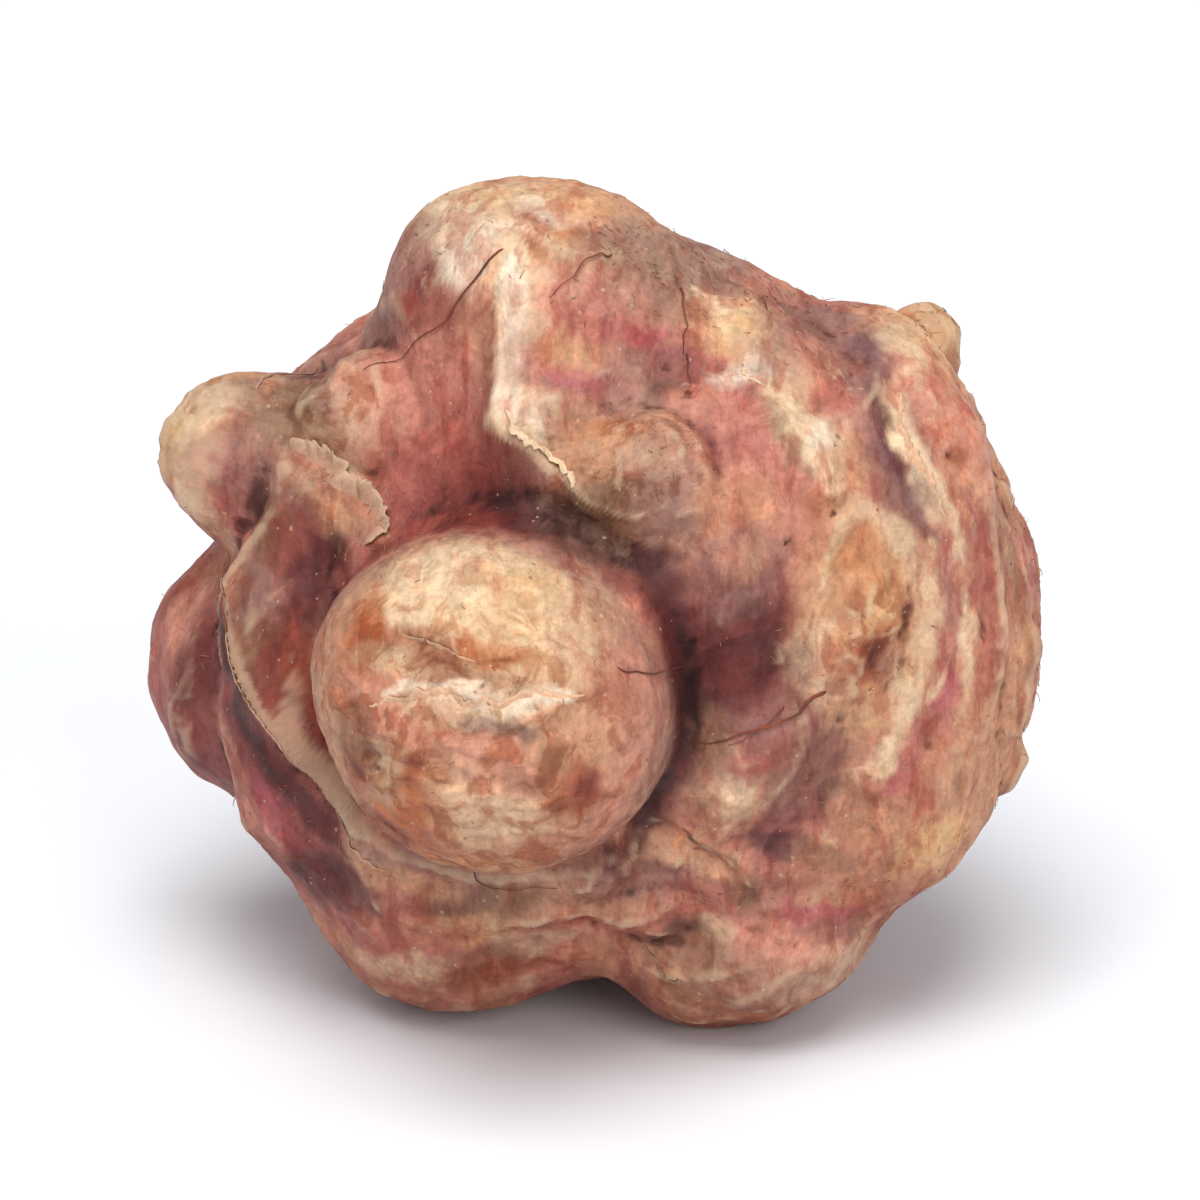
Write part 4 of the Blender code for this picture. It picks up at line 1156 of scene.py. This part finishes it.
def build_specks():
    tree, taken, given = new_group(
        "specks",
        (("Place", VECTOR, (0, 0, 0)), ("Spacing", FLOAT, 2.0), ("Size", FLOAT, 0.2), ("Share", FLOAT, 0.5)),
        (("Mask", FLOAT),),
    )
    bent = reckon(tree, "SCALE", texture(tree, taken["Place"], 1.0 / MM, 1.0)[1], 0.5 * MM)
    spot = reckon(tree, "ADD", taken["Place"], bent)
    cells = add(tree, "ShaderNodeTexVoronoi", Vector=spot, Scale=calculate(tree, "DIVIDE", 1.0 / MM, taken["Spacing"]))
    away = times(tree, cells.outputs["Distance"], taken["Spacing"])
    parts = add(tree, "ShaderNodeSeparateColor", i0=cells.outputs["Color"]).outputs
    radius = times(tree, taken["Size"], calculate(tree, "ADD", parts[1], 0.4))
    dot = ramp(tree, away, times(tree, radius, 0.5), radius, 1.0, 0.0)
    kept = calculate(tree, "LESS_THAN", parts[0], taken["Share"])
    wire(tree, times(tree, dot, kept), given["Mask"])
    return tree


specks = build_specks()
print("group", specks.name)

# %% [markdown]
# ### Cork
#
# Old skin splits into fine, branching cracks that show rust inside. A noise crosses its middle value along lines
# that wander and fork much as the cracks do, and a second noise heals them over most of the skin.

# %% Cork


def build_cork():
    tree, taken, given = new_group(
        "cork cracks",
        (("Place", VECTOR, (0, 0, 0)), ("Plate", FLOAT, 2.0)),
        (("Mask", FLOAT), ("Height", FLOAT)),
    )
    scale = calculate(tree, "DIVIDE", 1.0 / MM, taken["Plate"])
    split = texture(tree, taken["Place"], scale, 4.0, 0.55)[0]
    off = calculate(tree, "ABSOLUTE", calculate(tree, "SUBTRACT", split, 0.5))
    line = ramp(tree, off, 0.0, 0.022, 1.0, 0.0)
    healed = texture(tree, taken["Place"], 0.3 / MM, 3.0)[1]
    open_share = ramp(tree, add(tree, "ShaderNodeSeparateColor", i0=healed).outputs[1], 0.46, 0.6)
    mask = times(tree, line, open_share)
    wire(tree, mask, given["Mask"])
    wire(tree, times(tree, mask, -1.0), given["Height"])
    return tree


cork = build_cork()
print("group", cork.name)

# %% [markdown]
# ## The skin's material
#
# The paint comes from the mesh. The groups break it up, soil and painted shade darken the creases, and pale dust
# and painted light lie on the dry ridges.
# The skin is matt with a faint gloss where it is smooth, and the finest wrinkles are only bumped.

# %% Skin material
DRY_GAIN = (1.45, 1.4, 1.32)  # how much lighter the skin is where it has dried


def cloud_node(tree, spot, size, distortion):
    """The value of a noise texture with clouds of so many mm."""
    return texture(tree, spot, 1.0 / (size * MM), 6.0, 0.62, distortion)[0]


def aside(tree, spot, away):
    """The same place moved so many mm, where the noise is another."""
    return reckon(tree, "ADD", spot, (away * MM, 0.0, 0.0))


def tint(tree, colour, share, *screen):
    """The colour multiplied by another, as far as the share says."""
    return blend(tree, share, colour, light(*screen), "MULTIPLY")


def read(tree, name):
    """The attribute node for a stored name."""
    return add(tree, "ShaderNodeAttribute", {"attribute_name": name})


def new_material(name):
    """A material with only its Principled BSDF: the material, its tree and the shader."""
    material = bpy.data.materials.new(name)
    material.use_nodes = True
    return material, material.node_tree, material.node_tree.nodes["Principled BSDF"]


def build_skin_material():
    material, tree, shader = new_material("tuber skin")
    spot = add(tree, "ShaderNodeTexCoord").outputs["Object"]
    corky = read(tree, "corky").outputs["Fac"]
    fine = read(tree, "fine hollow").outputs["Fac"]
    colour = read(tree, "paint").outputs["Color"]

    brown_cloud = cloud_node(tree, spot, 3.0, 0.8)
    brown_share = times(tree, ramp(tree, brown_cloud, 0.47, 0.6), ramp(tree, corky, 0.0, 1.0, 0.3, 0.75))
    colour = tint(tree, colour, brown_share, 205, 160, 128)
    pale_cloud = cloud_node(tree, aside(tree, spot, 40.0), 2.4, 0.6)
    pale_share = times(tree, ramp(tree, pale_cloud, 0.52, 0.66), 0.5)
    colour = blend(tree, pale_share, colour, np.array(DRY_GAIN), "MULTIPLY")
    streak_place = reckon(tree, "MULTIPLY", aside(tree, spot, 80.0), (2.2, 1.2, 0.8))
    streak_cloud = cloud_node(tree, streak_place, 4.0, 0.5)
    streak_share = times(tree, ramp(tree, streak_cloud, 0.48, 0.62), ramp(tree, corky, 0.0, 1.0, 0.7, 0.1))
    colour = tint(tree, colour, streak_share, 222, 172, 168)
    cells = place(tree, mottle, Place=spot, Colour=colour, Cell=0.5, Amount=0.6)
    colour = cells["Colour"]
    net = place(tree, cork, Place=spot, Plate=2.2)
    net_share = times(tree, net["Mask"], ramp(tree, corky, 0.0, 1.0, 0.1, 0.3))
    colour = tint(tree, colour, net_share, 196, 140, 104)

    # Darker in the fine creases, in brown clouds: soil, and painted shade.
    soil_and_crease_shade = times(tree, ramp(tree, fine, 0.06, 0.2), ramp(tree, brown_cloud, 0.35, 0.6, 0.35, 0.85))
    colour = tint(tree, colour, soil_and_crease_shade, 120, 96, 92)
    # Paler on the fine ridges: dust, and painted light.
    dust_and_ridge_light = times(tree, ramp(tree, fine, -0.06, -0.2), 0.4)
    colour = blend(tree, dust_and_ridge_light, colour, PIGMENTS["cream"])

    dark_dots = place(tree, specks, Place=spot, Spacing=2.3, Size=0.2, Share=0.22)["Mask"]
    colour = blend(tree, times(tree, dark_dots, 0.6), colour, PIGMENTS["brown"])
    pale_dots = place(tree, specks, Place=spot, Spacing=1.1, Size=0.16, Share=0.4)["Mask"]
    colour = blend(tree, times(tree, pale_dots, 0.35), colour, PIGMENTS["cream"])
    wire(tree, colour, shader.inputs["Base Color"])
    shader.inputs["Specular IOR Level"].default_value = 0.35

    rough = ramp(tree, brown_cloud, 0.3, 0.7, 0.5, 0.68)
    wire(tree, calculate(tree, "ADD", rough, times(tree, soil_and_crease_shade, 0.3)), shader.inputs["Roughness"])
    wrinkle = texture(tree, spot, 0.9 / MM, 6.0, 0.62)[0]
    height = calculate(tree, "ADD", cells["Height"], times(tree, wrinkle, 1.2))
    height = calculate(tree, "ADD", height, times(tree, net["Height"], 0.2))
    height = calculate(tree, "SUBTRACT", height, times(tree, dark_dots, 0.4))
    bump = add(tree, "ShaderNodeBump", Strength=0.55, Distance=0.22 * MM, Height=height)
    wire(tree, bump.outputs[0], shader.inputs["Normal"])
    return material


skin.data.materials.append(build_skin_material())
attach(skin, "root")
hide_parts("tuber")
print("material", skin.data.materials[0].name, len(skin.data.materials[0].node_tree.nodes), "nodes")

# %% [markdown]
# ## Torn skin
#
# Where a ring's papery skin has split, its edge stands up as a thin, ragged flap. A flap could be painted, but its
# edge catches the light and throws a shadow, so each one is a thin closed strip: rooted in the skin along one
# side, with the other side lifted and torn by noise.

# %% Finding the skin
OUTSIDE = 80 * MM  # from the middle, past all of the skin
skin_tree = BVHTree.FromPolygons(skin_place.tolist(), squares.tolist())


def skin_below(looks):
    """The outermost points of the skin in the given directions from the middle, and the skin's normals there."""
    hits = [skin_tree.ray_cast(Vector(middle + look * OUTSIDE), Vector(-look)) for look in looks]
    return np.array([hit[0] for hit in hits]), np.array([hit[1] for hit in hits])


print("the top of the skin is at", (skin_below(facing(0, [90.0]))[0] / MM).round(1), "mm")

# %% Flaps


@dataclass
class Flap:
    """A torn strip of skin. Its free edge follows the way, and it is rooted `width` to the right of it."""

    way: tuple
    width: float  # mm
    lift: float  # mm, of the free edge
    tear: float = 0.5  # mm that the edge goes in and out
    pigment: str = "buff"
    seed: int = 1


FLAPS = [
    Flap(*row)
    for row in (
        (((-70, 35), (-65, 36.5), (-61, 37), (-57, 35.5), (-53, 36), (-48, 34), (-45, 30), (-48, 26)), 3.2, 1),
        (((-6, 40.5), (-8, 43), (-13, 45), (-19, 47.5), (-23, 51)), 1.5, 0.5, 0.5, "cream", 3),
        (((-28, 8.5), (-24, 10.5), (-18, 12), (-14, 11), (-8, 12.5), (-2, 12)), 1.1, 0.22, 0.5, "peach", 4),
        (((-25, 17.5), (-20, 17), (-15, 15.5)), 0.7, 0.15, 0.2, "tan", 5),
        (((-74, 12.5), (-69, 8.5), (-63, 4), (-57, -2.5), (-51, -9)), 0.9, 0.2, 0.25, "tan", 7),
        (((-98, 41), (-87, 40), (-80, 37)), 0.9, 0.25, 0.3, "mauve", 8),
        (((42, 48), (40.5, 51.5), (38.5, 55), (41, 57)), 0.7, 0.12, 0.4, "cream", 9),
        (((-46, -17), (-44, -22), (-39, -27)), 0.8, 0.2, 0.3, "buff", 10),
        (((68, 41.5), (62.5, 37), (61, 31), (61.5, 24)), 0.7, 0.2, 0.25, "peach", 11),
        (((20, -47), (14, -48), (9, -45)), 0.9, 0.2, 0.3, "brown", 12),
        (((150, 30), (158, 36), (168, 38), (178, 34)), 1.6, 0.5, 0.5, "buff", 13),
        (((-132, 14), (-138, 20), (-148, 20), (-156, 14)), 1.6, 0.5, 0.5, "tan", 14),
        (((112, 14), (118, 6), (126, 2), (134, 2)), 1.4, 0.4, 0.5, "buff", 15),
        (((-112, 24), (-118, 14), (-118, 2), (-114, -8)), 1.4, 0.45, 0.4, "buff", 16),
    )
]
FLAP_ROWS = 7  # points across a flap, from its root to its free edge
FLAP_SKIN = 0.16  # mm thick at the root; half that at the free edge
EDGE_PALE, UNDER_SIDE_SHADE = 0.35, 0.6  # how much of the free edge's colour is cream, and how much of its colour the under side keeps, as painted shade


def flap_sheet(flap):
    """The upper and lower points of one flap, as grids of (along, across). A row's place across runs from the
    root, sunk in the skin, to the free edge; its height grows with the square of that place."""
    curve = smooth_way(flap.way, 24)
    step = np.arange(len(curve)) * 0.35 * MM
    along = np.stack((step, np.full(len(curve), flap.seed * 0.1), np.zeros(len(curve))), axis=1)
    taper = np.sin(np.pi * (np.arange(len(curve)) + 0.5) / len(curve)) ** 0.5
    tear = flap.tear * taper * (cloud(along, 3.0 * MM, 301, 2) + 0.5 * noise(along, 1.1 * MM, 305))
    v = np.linspace(0.0, 1.0, FLAP_ROWS)[None, :]
    reach = ((v - 1.0) * flap.width * (0.35 + 0.65 * taper[:, None]) + v * tear[:, None]) * MM / BODY_RADII[0]
    sheet_looks = unit(curve[:, None, :] + left_of(curve)[:, None, :] * reach[:, :, None])
    base, _ = skin_below(sheet_looks.reshape(-1, 3))
    base = base.reshape(*sheet_looks.shape)
    curl = 0.75 + 0.5 * noise(along, 2.4 * MM, 308)
    height = (flap.lift * taper * curl)[:, None] * v**2 - 0.35 * (1.0 - v) ** 2
    height = height + 0.08 * taper[:, None] * v * noise(along, 0.8 * MM, 311)[:, None]
    thick = FLAP_SKIN * (1.0 - 0.5 * v)
    upper = base + sheet_looks * (height * MM)[:, :, None]
    lower = base + sheet_looks * ((height - thick) * MM)[:, :, None]
    return upper, lower, v * np.ones((len(curve), 1))


def closed_strip(upper, lower, start):
    """One list of points and faces for two grids joined round their edges."""
    rows, columns = upper.shape[:2]
    index = np.arange(rows * columns).reshape(rows, columns) + start
    below = index + rows * columns

    def quads(a, b, c, d):
        return np.stack([x.ravel() for x in (a, b, c, d)], axis=1)

    faces = [
        quads(index[:-1, :-1], index[1:, :-1], index[1:, 1:], index[:-1, 1:]),
        quads(below[:-1, :-1], below[:-1, 1:], below[1:, 1:], below[1:, :-1]),
        quads(index[:-1, -1], index[1:, -1], below[1:, -1], below[:-1, -1]),
        quads(index[1:, 0], index[:-1, 0], below[:-1, 0], below[1:, 0]),
        quads(index[0, :-1], index[0, 1:], below[0, 1:], below[0, :-1]),
        quads(index[-1, 1:], index[-1, :-1], below[-1, :-1], below[-1, 1:]),
    ]
    return np.vstack((upper.reshape(-1, 3), lower.reshape(-1, 3))), np.vstack(faces)


def build_flaps():
    points, faces, colours = [], [], []
    count = 0
    for flap in FLAPS:
        upper, lower, v = flap_sheet(flap)
        strip, strip_faces = closed_strip(upper, lower, count)
        pale = smooth_step(0.6, 1.0, v.ravel())[:, None] * EDGE_PALE
        colour = PIGMENTS[flap.pigment] + pale * (PIGMENTS["cream"] - PIGMENTS[flap.pigment])
        points.append(strip)
        faces.append(strip_faces)
        # The under side has the same colour, darkened as painted shade.
        colours.append(np.vstack((colour, colour * UNDER_SIDE_SHADE)))
        count += len(strip)
    flaps = mesh_object("torn_skin", np.vstack(points), np.vstack(faces))
    store(flaps.data, "paint", np.vstack(colours))
    return flaps


flaps = build_flaps()

# %% [markdown]
# ## Rootlets
#
# The hairs left after washing are dead, brown and brittle. Each is a thin tube that tapers to a point: a few long
# ones lie along the skin, and short ones stand in tufts on the eyes and ridges.

# %% Tubes
TUBE_SIDES = 5


def tubes(paths, radii):
    """Points and faces of closed tubes along paths of shape (tubes, steps, 3), with a radius for each step. A
    ring is two directions square to the path, times the cosine and the sine, times the radius."""
    count, steps, _ = paths.shape
    tangent = unit(np.gradient(paths, axis=1))
    outward = unit(paths - middle)
    side = unit(np.cross(tangent, outward + 0.01))
    other = np.cross(tangent, side)
    turn = np.arange(TUBE_SIDES) * 2.0 * np.pi / TUBE_SIDES
    ring = side[:, :, None, :] * np.cos(turn)[:, None] + other[:, :, None, :] * np.sin(turn)[:, None]
    points = (paths[:, :, None, :] + ring * radii[:, :, None, None]).reshape(-1, 3)
    index = np.arange(len(points)).reshape(count, steps, TUBE_SIDES)
    after = np.roll(index, -1, axis=2)
    walls = np.stack((index[:, :-1], after[:, :-1], after[:, 1:], index[:, 1:]), axis=-1).reshape(-1, 4)
    return points, walls.tolist() + index[:, 0, ::-1].tolist() + index[:, -1].tolist()


def hair_paths(looks, heights):
    """Paths through the skin's points in the given directions, each lifted by its height in mm."""
    points, _ = skin_below(looks.reshape(-1, 3))
    return points.reshape(looks.shape) + looks * (heights * MM)[:, :, None]


# %% Long rootlets
LONG_ROOTLETS = (  # way, radius in mm, and how high its middle stands off
    (((-37, 70), (-41, 66), (-46, 61), (-54, 57), (-61, 54), (-64, 49)), 0.10, 0.25),
    (((5, 73), (-3, 72), (-10, 69), (-17, 66)), 0.09, 0.3),
    (((33, 70), (30, 66), (25, 61)), 0.11, 0.35),
    (((26, 61), (25, 59), (24, 56)), 0.07, 0.2),
    (((38, 4.5), (33, 3), (27, 1.5), (21, 0.5), (16, -1)), 0.17, 0.3),
    (((30, 4), (25, 1), (20, -1)), 0.08, 0.25),
    (((2, 14.5), (6, 13.5), (10, 12.5), (14, 12)), 0.09, 0.15),
    (((-26, -25), (-23, -29), (-17, -31), (-8, -30)), 0.07, 0.2),
    (((-66, 6), (-70, 10), (-72, 13)), 0.08, 0.3),
    (((58, 62), (62, 64), (70, 64)), 0.06, 0.3),
    (((146, 40), (152, 30), (150, 20)), 0.10, 0.35),
    (((-130, 40), (-140, 34), (-146, 24)), 0.09, 0.3),
    (((-120, -24), (-128, -30), (-138, -30)), 0.09, 0.3),
    (((118, -20), (126, -26), (138, -26), (146, -20)), 0.10, 0.3),
)
ROOT_STEPS = 26
ROOT_SWAY = 0.006  # radians


def long_rootlets():
    paths, radii = [], []
    along = np.linspace(0.0, 1.0, ROOT_STEPS)
    for number, (way, radius, stand) in enumerate(LONG_ROOTLETS):
        curve = smooth_way(way, 24)
        spread = np.linspace(0, len(curve) - 1, ROOT_STEPS)
        looks = np.stack([np.interp(spread, np.arange(len(curve)), c) for c in curve.T], axis=1)
        sway = np.stack((along * 14 * MM, np.full(ROOT_STEPS, 0.1 * number), np.zeros(ROOT_STEPS)), axis=1)
        looks = unit(looks + ROOT_SWAY * drift(sway, 1.6 * MM, 401))
        height = stand * np.sin(np.pi * along) ** 0.6 - 0.12 * (along < 0.02)
        paths.append(hair_paths(looks[None], height[None])[0])
        radii.append(radius * MM * (1.0 - 0.7 * along))
    return tubes(np.array(paths), np.array(radii))


# %% Short hairs
TUFTS = (  # middle of a tuft (azimuth, elevation), its spread in degrees, how many, longest in mm
    (23, 73, 9, 70, 0.9),
    (55, 70, 12, 70, 0.9),
    (82, 62, 10, 60, 0.9),
    (94, 44, 9, 50, 0.8),
    (92, 15, 16, 130, 0.9),
    (88, -14, 14, 90, 0.9),
    (45, 8, 9, 26, 0.8),
    (26, 10, 9, 8, 0.7),
    (8, 44, 12, 40, 0.6),
    (-18, 8, 20, 60, 0.5),
    (-50, 30, 12, 40, 0.9),
    (-78, 8, 12, 40, 0.9),
    (-50, -20, 14, 40, 0.9),
    (12, -30, 18, 60, 0.8),
    (50, -30, 20, 60, 0.8),
    (-60, 66, 16, 40, 0.7),
    (150, 10, 30, 170, 1.0),
    (-140, 20, 30, 150, 1.0),
    (180, -20, 26, 90, 0.9),
    (160, 60, 26, 80, 0.8),
)
HAIR_STEPS = 4


def short_hairs():
    """Each hair starts under the skin in its tuft and bends over, away in some direction of its own."""
    rng = np.random.default_rng(77)
    roots, lengths = [], []
    for azimuth, elevation, spread, many, longest in TUFTS:
        stray = rng.normal(0.0, np.radians(spread) / 2, (many, 3))
        roots.append(unit(facing(azimuth, elevation) + stray))
        lengths.append(longest * (0.35 + 0.65 * rng.random(many)))
    roots, lengths = np.vstack(roots), np.concatenate(lengths)
    away = rng.normal(size=roots.shape)
    away = unit(away - np.einsum("ij,ij->i", away, roots)[:, None] * roots)
    stand = 0.15 + 0.75 * rng.random(len(roots)) ** 2
    t = np.linspace(0.0, 1.0, HAIR_STEPS)
    reach = lengths[:, None] * t * MM / BODY_RADII[0]
    looks = unit(roots[:, None, :] + away[:, None, :] * reach[:, :, None])
    heights = lengths[:, None] * stand[:, None] * t * (1.0 - 0.35 * t) + 0.03 - 0.12 * (t < 0.1)
    radii = (0.025 + 0.03 * rng.random(len(roots)))[:, None] * MM * (1.0 - 0.6 * t)
    return tubes(hair_paths(looks, heights), radii)


def build_rootlets(name, made, low, high):
    """A piece from tubes, with a brown between two pigments on each point, changing every few mm."""
    points, _ = made
    piece = mesh_object(name, *made)
    share = 0.5 + 0.5 * noise(points, 1.5 * MM, 431)[:, None]
    store(piece.data, "paint", PIGMENTS[low] + share * (PIGMENTS[high] - PIGMENTS[low]))
    return piece


rootlets = build_rootlets("rootlets", long_rootlets(), "umber", "rust")
hairs = build_rootlets("root_hairs", short_hairs(), "brown", "buff")

# %% [markdown]
# Dry skin and roots share one plain, matt material: their paint, broken up by the mottle.

# %% Dry material


def build_dry_material():
    material, tree, shader = new_material("dry skin and roots")
    spot = add(tree, "ShaderNodeTexCoord").outputs["Object"]
    cells = place(tree, mottle, Place=spot, Colour=read(tree, "paint").outputs["Color"], Cell=0.35, Amount=0.6)
    wire(tree, cells["Colour"], shader.inputs["Base Color"])
    wire(tree, ramp(tree, cells["Height"], 0.4, 0.9, 0.6, 0.85), shader.inputs["Roughness"])
    bump = add(tree, "ShaderNodeBump", Strength=0.5, Distance=0.12 * MM, Height=cells["Height"])
    wire(tree, bump.outputs[0], shader.inputs["Normal"])
    return material


dry_material = build_dry_material()
for piece in (flaps, rootlets, hairs):
    piece.data.materials.append(dry_material)
    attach(piece, "root")

# %% [markdown]
# ## Floor, camera and light
#
# A pale floor and broad, soft light from above show the skin's own colour. The camera looks a little down at the
# front, from far enough away that the tuber keeps its proportions.

# %% Floor
FLOOR_HALF = 1.5


def build_floor():
    floor = mesh_object(
        "floor",
        [(x * FLOOR_HALF, y * FLOOR_HALF, 0.0) for x, y in ((-1, -1), (1, -1), (1, 1), (-1, 1))],
        [(0, 1, 2, 3)],
    )
    material, tree, shader = new_material("pale floor")
    spot = add(tree, "ShaderNodeTexCoord").outputs["Object"]
    grain = texture(tree, spot, 40.0, 3.0)[0]
    wire(tree, blend(tree, grain, light(246, 247, 251), light(249, 250, 253)), shader.inputs["Base Color"])
    wire(tree, ramp(tree, grain, 0.3, 0.7, 0.7, 0.85), shader.inputs["Roughness"])
    shader.inputs["Specular IOR Level"].default_value = 0.1
    floor.data.materials.append(material)


build_floor()

# %% Camera
CAMERA_ELEVATION = 22.0
LENS, SENSOR = 250.0, 36.0
PICTURE_WIDTH = 99.5 * MM  # of what the picture shows, at the tuber
target = Vector((0.7, 2.8, 32.9)) * MM


def aimed(name, data, way, distance):
    """A camera or a lamp that way from the tuber, turned to it."""
    made = bpy.data.objects.new(name, data)
    back = Vector(facing(*way))
    made.location = target + back * distance
    made.rotation_euler = back.to_track_quat("Z", "Y").to_euler()
    bpy.context.scene.collection.objects.link(made)
    return made


camera_data = bpy.data.cameras.new("camera")
camera_data.lens, camera_data.sensor_width, camera_data.clip_end = LENS, SENSOR, 10.0
camera = aimed("camera", camera_data, (0, CAMERA_ELEVATION), PICTURE_WIDTH * LENS / SENSOR)
bpy.context.scene.camera = camera
print("camera", [round(c, 3) for c in camera.location])

# %% Lights
LAMP_DISTANCE = 3.0
for name, way, size, watts in (("window", (-14, 70), 2.0, 77.0), ("front fill", (30, 28), 1.6, 22.0)):
    lamp_data = bpy.data.lights.new(name, "AREA")
    lamp_data.size, lamp_data.energy = size, watts
    aimed(name, lamp_data, way, LAMP_DISTANCE)
world = bpy.data.worlds.new("studio")
world.use_nodes = True
world.node_tree.nodes["Background"].inputs["Color"].default_value = (0.92, 0.96, 1.0, 1.0)
world.node_tree.nodes["Background"].inputs["Strength"].default_value = 0.4
bpy.context.scene.world = world
bpy.context.scene.view_settings.view_transform = "Standard"
